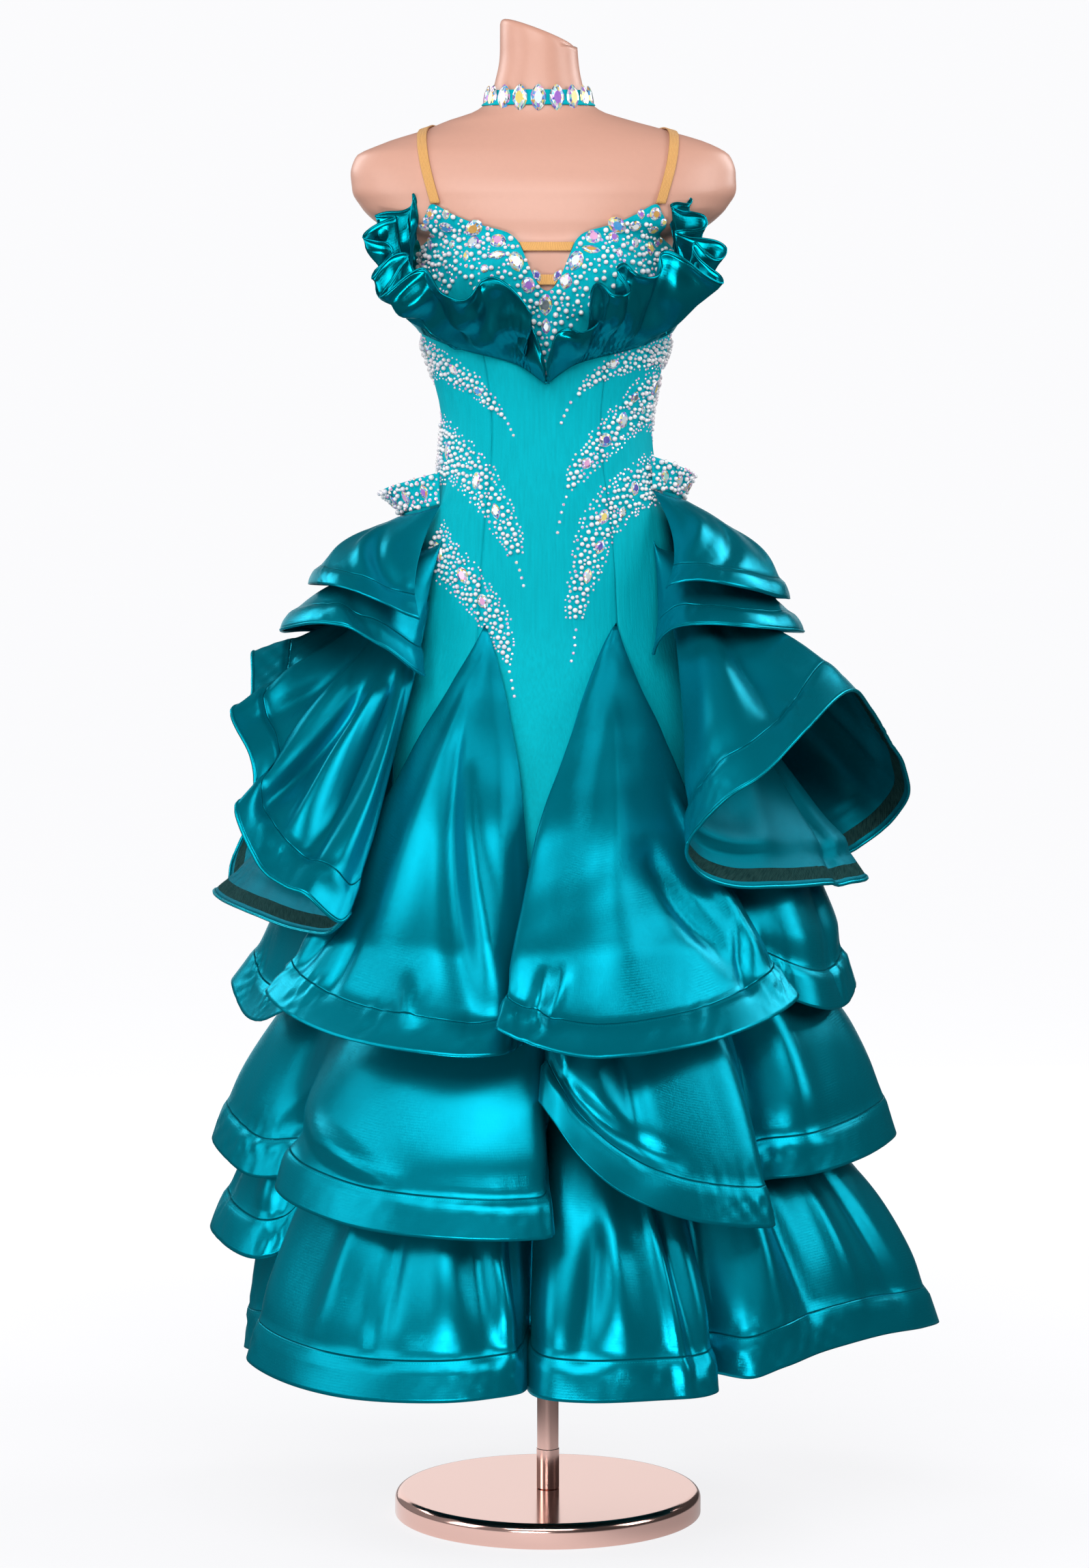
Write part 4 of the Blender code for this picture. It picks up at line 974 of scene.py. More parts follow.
def panel_surface(first, last):
    def surface(across, down):
        angle = blend(first, last, across)
        top = bust_seam(angle) - SEAM_GAP
        share = down * len(PANEL_LEVELS)
        levels = np.interp(share, np.arange(1, len(PANEL_LEVELS) + 1), PANEL_LEVELS)
        height = np.where(share < 1.0, blend(top, PANEL_LEVELS[0], share), levels)
        turn = np.degrees(0.5 * SEAM_GAP / wide_at(height))
        return figure(blend(first + turn, last - turn, across), height, CLOTH_OUT)

    return surface


def body_relief(seed, first, last, seams, top_edge=False):
    """Pressed-in seams, a turned top edge and the slight unevenness of stretched crepe."""
    def relief(laid):
        angle = blend(first, last, laid.across)
        total = 0.0003 * unrest(laid.points, 0.05, seed)
        for seam in seams:
            off = np.radians(angle - seam) * WAIST_RADIUS
            total = total - SEAM_DEPTH * np.exp(-((off / SEAM_WIDTH) ** 2))
        if top_edge:
            total = total + 0.0005 * fade(0.009, 0.007, laid.rise.max(axis=0) - laid.rise)
        return total * fade(0.0, 0.012, laid.rise)

    return relief


def make_body():
    for name, seed, first, seams, grid in (
            ("front", 11, -90.0, (-FRONT_SEAM, FRONT_SEAM), (200, 26)),
            ("back", 12, 90.0, (BACK_SEAM, 180.0, 360.0 - BACK_SEAM), (130, 14))):
        relief = body_relief(seed, first, first + 180.0, seams, True)
        surface = bodice_surface(first, first + 180.0)
        lay_cloth("crepe", "bodice_" + name, surface, grid, [crepe], relief)
    for name, first, last, columns in (
            ("front", -FRONT_SEAM, FRONT_SEAM, 44), ("right", FRONT_SEAM, BACK_SEAM, 84),
            ("back", BACK_SEAM, 360.0 - BACK_SEAM, 44), ("left", -BACK_SEAM, -FRONT_SEAM, 84)):
        seams = (first + 0.6, last - 0.6)
        if name in ("right", "left"):
            seams += (math.copysign(SIDE_SEAM, first),)
        relief = body_relief(13, first, last, seams)
        lay_cloth("crepe", "panel_" + name, panel_surface(first, last), (columns, 54), [crepe], relief)


make_body()

# %% [markdown]
# ## Elastic
# Tan elastic does the carrying: two straps over the shoulders, and two short strips across the
# notch between the cups. Each is a ribbed band that lies on the form.

# %% Straps and strips
STRAP_PIVOT, STRAP_WIDTH, STRAP_BOW = 1.395, 0.010, 0.018
STRAP_FRONT, STRAP_BACK = 0.117, 0.080
BRIDGES = {"upper": (1.3475, 1.3565), "lower": (1.3125, 1.3230)}


def strap_reach(x, angle):
    """Distance from the straps' line to the form's surface, found by halving."""
    turned = np.radians(angle)
    near = np.zeros_like(x)
    far = np.full_like(x, 0.3)
    for _ in range(30):
        middle = (near + far) / 2
        height = STRAP_PIVOT + middle * np.sin(turned)
        y = -middle * np.cos(turned)
        side = (x - smooth(LEVEL, CENTRE, height)) / wide_at(height)
        inside = (height < LEVEL[-1]) & (side**2 + (y / deep_at(height, y < 0)) ** 2 < 1.0)
        near = np.where(inside, middle, near)
        far = np.where(inside, far, middle)
    return near


def strap_surface(side):
    def surface(across, down):
        angle = blend(2.0, 216.5, down)
        bow = STRAP_BOW * np.sin(np.pi * np.minimum(down * 1.6, 1.0))
        x = side * (blend(STRAP_FRONT, STRAP_BACK, down**2) + bow + (across - 0.5) * STRAP_WIDTH)
        reach = strap_reach(x, angle) + CLOTH / 2 + 4 * SEAM_GAP
        turned = np.radians(angle)
        return point_at(x, -reach * np.cos(turned), STRAP_PIVOT + reach * np.sin(turned))

    return surface


def strip_surface(low, high):
    def surface(across, down):
        height = blend(high, low, down)
        half = smooth(*NOTCH, height) - 0.3
        return figure(blend(-half, half, across), height, CLOTH_OUT)

    return surface


def make_elastic_parts():
    for name, side in (("right", 1.0), ("left", -1.0)):
        lay_cloth("elastic", "strap_" + name, strap_surface(side), (10, 110), [elastic], thick=0.0014)
    for name, levels in BRIDGES.items():
        lay_cloth("elastic", "bridge_" + name, strip_surface(*levels), (30, 10), [elastic])


make_elastic_parts()

# %% [markdown]
# ## Bust frill
# The frill is a circular cut of satin, gathered into the bust seam and left to stand up in deep waves.
# Its free edge is rolled over a cord and overlocked, so a thin round edge follows every wave. The
# cord is made here as a narrow tube along the frill's last row.

# %% Frill waves
# angle of the seam, then x, y and z of the free edge
FRILL_FRONT_RIGHT = in_metres([
    (0.8, 0, -114, 1213), (2, 0, -126, 1230), (3.5, 4, -136, 1247), (5, 10, -143, 1261),
    (7, 21, -145, 1266), (9, 32, -142, 1262), (11, 41, -138, 1264), (12.5, 51, -133, 1271),
    (13.5, 52, -126, 1279), (14.5, 48, -124, 1287), (15.5, 44, -130, 1296), (16.5, 46, -144, 1308),
    (17.5, 52, -154, 1312), (19, 58, -160, 1308), (20.5, 66, -163, 1300), (22, 77, -160, 1299),
    (23.5, 84, -152, 1304), (24.7, 79, -143, 1314), (25.7, 72, -138, 1324), (26.7, 72, -140, 1330),
    (28, 78, -147, 1332), (29.5, 83, -151, 1328), (31.5, 91, -151, 1321), (33.5, 102, -147, 1318),
    (35.5, 112, -140, 1320), (37, 116, -133, 1328), (38.2, 115, -130, 1340), (39.5, 120, -132, 1346),
    (41, 131, -134, 1343), (42.5, 143, -133, 1335), (44, 158, -129, 1324), (45.5, 170, -122, 1317),
    (47, 180, -113, 1314), (48.3, 178, -103, 1322), (49.6, 167, -98, 1331), (51, 156, -95, 1341),
    (52.2, 150, -94, 1351), (53.3, 153, -92, 1357), (54.5, 162, -94, 1348), (55.7, 173, -92, 1341),
    (57, 182, -86, 1342), (58.2, 185, -78, 1352), (59.4, 176, -74, 1359), (60.6, 161, -74, 1362),
    (61.8, 147, -76, 1363), (63, 132, -78, 1369), (64, 142, -72, 1371), (65, 155, -68, 1372),
    (66, 165, -64, 1376), (67.2, 163, -60, 1386), (68.4, 150, -62, 1390), (69.6, 138, -68, 1391),
    (70.8, 128, -74, 1396), (71.6, 134, -72, 1399), (72.6, 147, -68, 1398), (73.6, 149, -62, 1404),
    (74.6, 139, -62, 1404), (75.4, 128, -66, 1402), (76.2, 121, -70, 1403), (77, 128, -72, 1407),
    (78, 132, -66, 1404), (79, 137, -60, 1397), (80.5, 142, -54, 1386),
])
FRILL_FRONT_LEFT = in_metres([
    (0.8, 3, -114, 1213), (2, 4, -124, 1230), (4, 9, -132, 1249), (6, 15, -137, 1264),
    (7.5, 23, -136, 1277), (8.5, 31, -140, 1288), (9.2, 28, -152, 1287), (10, 17, -160, 1278),
    (11, 21, -164, 1286), (12.5, 32, -162, 1301), (14.5, 44, -156, 1312), (16.5, 56, -149, 1318),
    (18.5, 67, -145, 1315), (20.5, 73, -147, 1308), (22.5, 79, -151, 1299), (24.5, 87, -154, 1294),
    (26.5, 98, -155, 1296), (28.5, 109, -151, 1302), (30.5, 116, -143, 1312), (32, 121, -136, 1322),
    (33.5, 127, -131, 1328), (35.5, 136, -131, 1326), (37.5, 148, -131, 1318), (39.5, 160, -128, 1308),
    (41.5, 172, -121, 1299), (43, 171, -109, 1305), (44.5, 161, -101, 1319), (46, 152, -97, 1334),
    (47, 145, -96, 1343), (48, 150, -91, 1346), (49.2, 162, -91, 1342), (50.5, 173, -92, 1331),
    (52, 182, -88, 1320), (53, 180, -78, 1328), (54, 170, -74, 1338), (55, 162, -74, 1348),
    (56, 167, -72, 1357), (57.5, 178, -74, 1359), (59, 192, -72, 1363), (60.5, 186, -66, 1372),
    (62, 172, -64, 1380), (63, 159, -66, 1385), (64, 167, -62, 1386), (65.5, 180, -62, 1386),
    (67, 169, -60, 1390), (68.5, 151, -64, 1391), (70, 141, -70, 1397), (71.2, 140, -74, 1408),
    (72.5, 136, -70, 1395), (74, 138, -62, 1372), (76, 140, -52, 1360),
])
FRILL_BACK = in_metres([
    (85, 160, -34, 1360), (89, 158, -22, 1362), (96, 164, 6, 1364), (103, 176, 30, 1364),
    (110, 156, 50, 1366), (118, 160, 78, 1377), (127, 144, 104, 1378), (135, 116, 104, 1366),
    (143, 100, 128, 1352), (151, 74, 138, 1350), (159, 56, 120, 1345), (167, 42, 138, 1348),
    (174, 18, 138, 1342), (179.2, 3, 122, 1336),
])
print("points along the frill's edge:", len(FRILL_FRONT_RIGHT[0]) + len(FRILL_BACK[0]))

# %% Frill and its cord
def swell(points, down):
    """Pushes the middle of a surface outwards by up to a centimetre, which rounds it."""
    outward = unit(points * SIDEWAYS)
    return points + outward * (0.010 * np.sin(np.pi * down))[..., None]


def frill_surface(rows, side):
    def surface(across, down):
        seam_angle, x, y, z = (trail(row, across) for row in rows)
        root = figure(side * seam_angle, bust_seam(seam_angle), SECOND_OUT)
        free = point_at(side * x, y, z)
        return swell(root + (free - root) * down[..., None], down)

    return surface


def frill_relief(seed):
    """Gathers at the seam, which die out on the way up, and soft dents in the waves."""
    def relief(laid):
        above = laid.rise.max(axis=0) - laid.rise
        gathers = puckers(laid, 0.018, seed) * np.exp(-above / 0.036) * fade(0.0, 0.004, above)
        dents = unrest(laid.points, 0.038, seed + 1) * fade(0.0, 0.03, above)
        return 0.0023 * gathers + 0.0032 * dents * fade(0.0, 0.01, laid.rise)

    return relief


def make_cord(node, line, radius, finish):
    """A thin tube sewn along the free edge of a piece of satin."""
    along = unit(np.gradient(line, axis=0))
    up = unit(np.cross(along, (0.3, 0.2, 1.0)))
    beside = np.cross(along, up)
    turns = np.linspace(0, 2 * np.pi, 7)[:, None, None]
    rings = line + radius * (np.cos(turns) * up + np.sin(turns) * beside)
    run = np.broadcast_to(length_along(line), rings.shape[:2])
    rise = np.broadcast_to(radius * turns[:, 0], run.shape)
    mesh = grid_mesh("cord_" + node, rings, run, rise, [finish], rings - line)
    seal(mesh)
    tie(add_piece(mesh), "satin", node)


def make_frills():
    for node, front, side, seed in (("frill_right", FRILL_FRONT_RIGHT, 1.0, 21),
                                    ("frill_left", FRILL_FRONT_LEFT, -1.0, 24)):
        surface = frill_surface(np.concatenate([front, FRILL_BACK], axis=1), side)
        edge = lay_cloth("satin", node, surface, (520, 22), [satin_frill], frill_relief(seed))
        make_cord(node, edge, 0.0012, satin_frill)


make_frills()

# %% [markdown]
# ## Hips
# At each hip a stiff collar stands up, and under it two short tiers and a bell-shaped drape hang
# over each other. They are stiff satin with wide hems. The drapes turn up far enough to
# show their inner side with its horsehair tape.

# %% Hip tables
# angle, radius and height of the hems, from front to back
HIP_UPPER_RIGHT = in_metres([
    (45.5, 172, 999), (44, 187, 1004), (49.5, 207, 1007), (58, 232, 1000), (76, 250, 988),
    (95, 256, 985), (120, 240, 985), (143, 204, 990), (150, 158, 994),
])
HIP_UPPER_LEFT = in_metres([
    (51, 173, 966), (52, 190, 972), (55, 217, 986), (63, 243, 1000), (76, 250, 1003), (95, 252, 1000),
    (120, 237, 996), (143, 203, 994), (150, 160, 996),
])
HIP_LOWER_RIGHT = in_metres([
    (52, 142, 930), (47.5, 158, 944), (46.5, 182, 959), (50, 214, 963), (58, 246, 960), (74.6, 262, 955),
    (95, 271, 950), (120, 262, 948), (145, 215, 950), (152, 158, 952),
])
HIP_LOWER_LEFT = in_metres([
    (56, 158, 908), (52.5, 176, 914), (54, 220, 944), (61, 258, 963), (77, 280, 957), (90, 280, 951),
    (105, 264, 950), (125, 245, 940), (147, 200, 944), (153, 160, 950),
])
# angle and stand of the top, then x, y and z of the mouth, all round
DRAPE_RIGHT = in_metres([
    (58, 10, 142, -248, 745), (60, 22, 178, -272, 790), (65, 32, 214, -270, 817),
    (72, 40, 260, -228, 859), (82, 46, 309, -140, 894), (94, 50, 342, -40, 869), (106, 50, 368, 40, 831),
    (116, 46, 388, 90, 801), (126, 40, 396, 130, 767), (136, 32, 376, 150, 733),
    (145, 22, 342, 130, 710), (149, 9, 320, 80, 702), (141, 4.3, 333, 10, 693),
    (128, 4.3, 336, -35, 689), (112, 4.3, 286, -115, 692), (96, 4.3, 236, -165, 693),
    (80, 4.3, 188, -208, 699), (66, 4.3, 153, -232, 716),
])
DRAPE_LEFT = in_metres([
    (57, 12, 201, -236, 674), (58, 20, 212, -256, 668), (61, 27, 242, -266, 695),
    (64, 32, 266, -252, 703), (68, 36, 293, -227, 722), (72, 39, 318, -202, 775),
    (76, 42, 303, -168, 792), (80, 45, 306, -152, 826), (84, 47, 328, -122, 871),
    (88, 48, 311, -82, 880), (92, 48, 311, -50, 902), (98, 48, 313, -5, 928), (107, 46, 302, 60, 904),
    (118, 40, 299, 120, 845), (130, 32, 312, 150, 776), (141, 22, 346, 140, 700),
    (147, 9, 350, 100, 672), (140, 4.3, 362, 60, 668), (126, 4.3, 347, 5, 663),
    (112, 4.3, 322, -55, 660), (96, 4.3, 282, -125, 652), (80, 4.3, 250, -178, 650),
    (66, 4.3, 222, -220, 653),
])
Hip = namedtuple("Hip", "name side seam_height stand flare pinch upper lower drape")
HIPS = [
    Hip("right", 1.0, 1.103, 0.022, 0.014, 1.0, HIP_UPPER_RIGHT, HIP_LOWER_RIGHT, DRAPE_RIGHT),
    Hip("left", -1.0, 1.086, 0.030, 0.026, 1.25, HIP_UPPER_LEFT, HIP_LOWER_LEFT, DRAPE_LEFT),
]
print("hem points at each hip:", [len(hip.upper[0]) + len(hip.lower[0]) for hip in HIPS])

# %% Hip pieces
HIP_SEAT = CLOTH_OUT + CLOTH + 3 * SEAM_GAP
LOWER_HIP_SEAT = CLOTH_OUT + CLOTH - 2 * SEAM_GAP
HIP_DROP, COLLAR_HEIGHT, COLLAR_DIP = 0.012, 0.034, 0.010
HIP_ENDS, LOWER_HIP_ENDS, LOWER_HIP_SEAM, DRAPE_SEAM = (69.0, 148.0), (64.0, 148.0), 1.048, 0.985


def hip_surface(rows, side, seam_height, ends, seat, stand):
    front, back = (calm(rows[0], np.array([end])) for end in (0.0, 1.0))

    def surface(across, down):
        bulge = np.sin(np.pi * across)
        top_height = seam_height - HIP_DROP * bulge
        gathered = blend(*ends, (calm(rows[0], across) - front) / (back - front))
        hem_angle, hem_radius, hem_height = (trail(row, across) for row in rows)
        angle = blend(gathered, hem_angle, down)
        top = figure_radius(angle, top_height, seat + stand * bulge)
        radius = blend(top, hem_radius, 1.0 - (1.0 - down) ** 1.8)
        return around(side * angle, radius, blend(top_height, hem_height, down))

    return surface


def collar_surface(hip):
    def surface(across, down):
        angle = blend(*HIP_ENDS, across)
        bulge = np.sin(np.pi * across)
        bottom = hip.seam_height - HIP_DROP * bulge
        radius = figure_radius(angle, bottom, HIP_SEAT + bulge * (hip.stand + hip.flare * (1.0 - down)))
        height = blend(COLLAR_HEIGHT - COLLAR_DIP * bulge, 0.0, down)
        return around(hip.side * angle, radius, bottom + height)

    return surface


def drape_surface(hip):
    def surface(across, down):
        angle, stand, x, y, z = (trail(row, across, 0.0) for row in hip.drape)
        top = figure(hip.side * angle, np.full_like(angle, DRAPE_SEAM), stand)
        mouth = point_at(hip.side * x, y, z)
        point = top + (mouth - top) * (down**hip.pinch)[..., None]
        point[..., 2] = blend(top[..., 2], mouth[..., 2], down ** (1.0 / hip.pinch))
        return swell(point, down)

    return surface


HIP_FOLDS = {
    "upper_right": [
        (1, 40, 2.2, 110, 12, 3), (2.4, 35, 3.2, 100, 14, -4), (4.2, 40, 4.4, 110, 22, 3),
        (6, 40, 5.6, 100, 16, -3)],
    "upper_left": [
        (1.4, 35, 2.6, 100, 12, -4), (2.2, 40, 3, 110, 12, 4), (3.8, 50, 3.9, 110, 20, 3),
        (6.1, 40, 5.8, 100, 16, -3)],
    "lower_right": [
        (2.6, 32, 3.4, 70, 12, -2), (5, 35, 5.2, 80, 20, 2)],
    "lower_left": [
        (2, 5, 2.7, 50, 12, -3), (2.6, 0, 2.9, 40, 10, 2.5), (5.4, 30, 5.2, 80, 20, 2)],
}
DRAPE_FOLDS = {
    "right": [
        (1.2, 50, 1.7, 240, 45, 9), (2.7, 55, 2.3, 200, 22, -7), (3.2, 50, 2.6, 150, 22, -4),
        (4.2, 20, 3.8, 120, 30, 4), (7.5, 30, 6.9, 170, 30, -5), (9.2, 40, 8.6, 200, 30, 5),
        (13.6, 0, 13.4, 240, 12, 7), (15.2, 30, 15, 200, 30, -4)],
    "left": [
        (1.6, 50, 1.3, 280, 20, 10), (2.6, 60, 2, 270, 17, -13), (3.7, 50, 3, 250, 19, 11),
        (4.6, 45, 4, 220, 15, -12), (6.2, 30, 5.2, 200, 20, 6), (7.6, 20, 6.6, 160, 18, -6),
        (9, 10, 8.2, 100, 20, 4), (13.2, 40, 12.6, 200, 30, 5), (14.6, 40, 14, 200, 25, -5),
        (19, 30, 19, 250, 30, 4)],
}


def make_hips():
    for hip in HIPS:
        upper_seam = hip.seam_height - CLOTH - SEAM_GAP
        lay_cloth("crepe", "hip_collar_" + hip.name, collar_surface(hip), (90, 12), [crepe],
                  lambda laid: 0.0008 * unrest(laid.points, 0.03, 31))
        levels = {
            "upper": (hip.upper, upper_seam, HIP_ENDS, HIP_SEAT, hip.stand, satin_inside),
            "lower": (hip.lower, LOWER_HIP_SEAM, LOWER_HIP_ENDS, LOWER_HIP_SEAT, 0.004, satin_taped),
        }
        for level, (rows, seam_height, ends, seat, stand, inner) in levels.items():
            node = f"hip_tier_{level}_{hip.name}"
            relief = satin_relief(rows, HIP_FOLDS[f"{level}_{hip.name}"], HIP_BAND,
                                  41 + len(node) + int(hip.side), uneven=0.0006, draw=0.0004,
                                  seam=0.03, tilt=0.001, dip=0.003)
            surface = hip_surface(rows, hip.side, seam_height, ends, seat, stand)
            edge = lay_cloth("satin", node, surface, (120, 30), [satin_hip, inner], relief)
            if level == "lower":
                make_cord(node, edge, 0.0017, satin_piping)
        node = "side_drape_" + hip.name
        relief = satin_relief(hip.drape, DRAPE_FOLDS[hip.name], DRAPE_BAND, 51 + int(hip.side), 0.0012)
        mouth = lay_cloth("satin", node, drape_surface(hip), (250, 46), [satin_drape, satin_taped],
                          relief, True, 1.15)
        make_cord(node, np.concatenate([mouth, mouth[1:2]]), 0.0021, satin_piping)


make_hips()

# %% [markdown]
# ## Godets
# A godet is a wedge of cloth let into a seam to make it flare. Each starts at a point on the thighs
# and opens into one big soft wave at the hem. Its sheen runs down the wave's middle, and a
# few creases start from the stitching of its band.

# %% Godet tables
# angle, radius and height of each hem
GODET_FRONT_LEFT = in_metres([
    (-49, 275, 600), (-54, 310, 592), (-58, 338, 587), (-50, 352, 572), (-36, 352, 552), (-18, 348, 540),
    (-9, 334, 540), (-6, 305, 545), (-4, 284, 550),
])
GODET_FRONT_RIGHT = in_metres([
    (0, 286, 562), (-3, 312, 564), (-8, 354, 570), (-3, 367, 556), (8, 364, 541), (24, 360, 550),
    (40, 345, 568), (51.5, 325, 584), (49, 298, 590), (45, 275, 600),
])
GODET_SIDE_LEFT = in_metres([
    (-127, 240, 610), (-121, 276, 590), (-112, 322, 566), (-94, 338, 576), (-84, 325, 548),
    (-75, 316, 543), (-67, 302, 556), (-59, 268, 585), (-53, 240, 615),
])
GODET_SIDE_RIGHT = in_metres([
    (48.5, 240, 620), (54, 268, 592), (62, 312, 566), (74, 322, 560), (90, 328, 573), (103, 330, 562),
    (113, 304, 575), (118, 268, 592), (122, 240, 610),
])
GODET_BACK_RIGHT = in_metres([
    (121, 275, 600), (121, 310, 575), (130, 342, 556), (146, 350, 546), (162, 350, 550), (173, 338, 556),
    (176, 308, 570), (177.5, 275, 580),
])
GODET_BACK_LEFT = in_metres([
    (-177.5, 275, 580), (-177, 308, 566), (-174, 342, 552), (-160, 352, 543), (-145, 348, 552),
    (-131, 340, 562), (-123, 312, 578), (-123, 275, 600),
])
Godet = namedtuple("Godet", "name rows angle height ease swing fullness lift folds")
GODETS = [
    Godet("front_left", GODET_FRONT_LEFT, -35.5, 0.961, 0.0, 4.0, 0.85, 4.0, [
        (5.4, 60, 4.4, 330, 22, -7), (6.1, 50, 5, 300, 16, 5), (2.6, 45, 3.1, 130, 12, -6),
        (3.5, 45, 3.6, 120, 10, -4), (4.6, 38, 4.5, 75, 8, 4), (3.9, 100, 3.9, 360, 35, 5)]),
    Godet("front_right", GODET_FRONT_RIGHT, 38.5, 0.963, 0.0, 4.0, 0.85, 4.0, [
        (5.9, 80, 5.1, 200, 18, -8), (6.5, 50, 6.2, 240, 18, 6), (6, 40, 6.3, 100, 10, -5),
        (3, 35, 3.1, 80, 7, 4), (3.3, 35, 3.5, 90, 7, -4), (4.3, 100, 4.5, 360, 35, 5)]),
    Godet("side_left", GODET_SIDE_LEFT, -92.0, 0.900, 0.0007, 3.0, 1.5, 4.0, [
        (2.2, 40, 3.2, 220, 18, -4), (4, 50, 4, 250, 25, 4)]),
    Godet("side_right", GODET_SIDE_RIGHT, 90.0, 0.900, 0.0007, 3.0, 2.6, 1.6, [
        (3, 40, 3.6, 200, 18, -4), (5.2, 50, 4.6, 220, 25, 4)]),
    Godet("back_right", GODET_BACK_RIGHT, 147.0, 0.950, 0.0018, 4.0, 0.9, 4.0, [
        (4.2, 50, 3.9, 300, 22, -7), (3.2, 50, 3.4, 320, 30, 5), (5.1, 45, 4.8, 140, 12, -5)]),
    Godet("back_left", GODET_BACK_LEFT, -147.0, 0.950, 0.0018, 4.0, 0.9, 4.0, [
        (3, 50, 3.5, 280, 22, -7), (4.4, 50, 4.2, 340, 30, 5), (2.2, 45, 2.6, 130, 12, -5)]),
]
print("godets:", *(godet.name for godet in GODETS))

# %% Godets
FLARE_START = 0.055  # how far a godet leaves the body before its waves open
GODET_EASE = 0.0018


def godet_surface(godet):
    def surface(across, down):
        hem_angle, hem_radius, hem_height = (trail(row, across) for row in godet.rows)
        height = blend(godet.height, hem_height, down)
        swing = blend(calm(godet.rows[0], across), hem_angle, down)
        angle = blend(godet.angle, swing, 1.0 - (1.0 - down) ** godet.swing)
        ease = blend(godet.ease, GODET_EASE, np.minimum(7.0 * down, 1.0))
        seat = figure_radius(angle, height, CLOTH_OUT + CLOTH + ease)
        lowest = np.full_like(height, LEVEL[0])
        hem = hem_radius - figure_radius(hem_angle, lowest, CLOTH_OUT + CLOTH + GODET_EASE) - FLARE_START
        lift = down**godet.lift
        spread = np.where(hem > 0.0, 1.0 - (1.0 - down) ** godet.fullness, lift)
        return around(angle, seat + FLARE_START * lift + hem * spread, height)

    return surface


def make_godets():
    for order, godet in enumerate(GODETS):
        relief = satin_relief(godet.rows, godet.folds, SKIRT_BAND, 61 + 3 * order, draw=0.0013,
                              seam=0.12, tilt=0.0010)
        lay_cloth("satin", "godet_" + godet.name, godet_surface(godet), (130, 56),
                  [satin_skirt, satin_inside], relief, crowd=1.2)


make_godets()

# %% [markdown]
# ## Skirt tiers
# Below the godets the skirt is a plain cone of lining with tiers of satin on it. Each tier is cut
# much wider than its seam, so that its hem stands in deep lobes. Between two lobes the
# cloth turns in sharply. The fullness comes from the table, and the creases from the list.

# %% Tier tables
# angle, radius and height of each hem
TIER_MIDDLE = in_metres([
    (-1.2, 275, 480), (-1.8, 305, 492), (1, 325, 474), (6, 334, 436), (13, 341, 402), (23, 351, 376),
    (33, 359, 364), (39.5, 360, 361), (42, 330, 368), (44, 292, 382), (48, 298, 394), (54, 336, 400),
    (66, 356, 408), (82, 371, 416), (98, 371, 412), (112, 352, 398), (120, 318, 392), (126, 296, 392),
    (132, 318, 388), (143, 350, 380), (160, 362, 374), (174, 352, 370), (183, 322, 372), (189, 298, 376),
    (195, 320, 380), (207, 352, 388), (223, 360, 394), (236, 346, 396), (243, 310, 400), (249, 300, 402),
    (256, 335, 404), (268, 360, 408), (279, 345, 392), (286, 325, 380), (293, 298, 384), (299, 300, 388),
    (304, 338, 388), (312, 350, 376), (328, 354, 362), (345, 347, 357), (356, 338, 357), (361, 326, 360),
    (360.5, 292, 375), (359.5, 268, 420),
])
TIER_LEFT = in_metres([
    (-165, 270, 330), (-162, 310, 318), (-148, 345, 312), (-132, 350, 318), (-118, 318, 322),
    (-109, 295, 322), (-102, 310, 320), (-92, 362, 316), (-82, 350, 302), (-75, 325, 292),
    (-72.5, 300, 297), (-71.5, 284, 312),
])
TIER_BOTTOM = in_metres([
    (-5, 225, 206), (-4.2, 285, 198), (-1, 325, 195), (7, 338, 193), (18, 346, 194), (27, 348, 194),
    (31.5, 330, 196), (33, 290, 200), (36, 290, 201), (39, 328, 200), (45, 341, 209), (56, 346, 216),
    (69, 374, 220), (80, 405, 215), (88, 420, 211), (97, 400, 208), (106, 350, 206), (112, 300, 204),
    (119, 285, 202), (127, 325, 198), (142, 362, 192), (160, 372, 189), (174, 358, 190), (183, 305, 196),
    (189, 265, 202), (196, 300, 198), (208, 350, 192), (224, 365, 189), (240, 352, 190), (250, 305, 192),
    (256, 270, 194), (263, 300, 188), (272, 326, 184), (282, 310, 190), (289, 262, 204), (294, 275, 208),
    (297, 325, 206), (300.5, 362, 207), (310, 368, 198), (326, 370, 192), (342, 358, 194),
    (351, 340, 198), (355.5, 315, 200), (355.3, 270, 204),
])
Tier = namedtuple("Tier", "name rows seam_height lean turn grid folds")
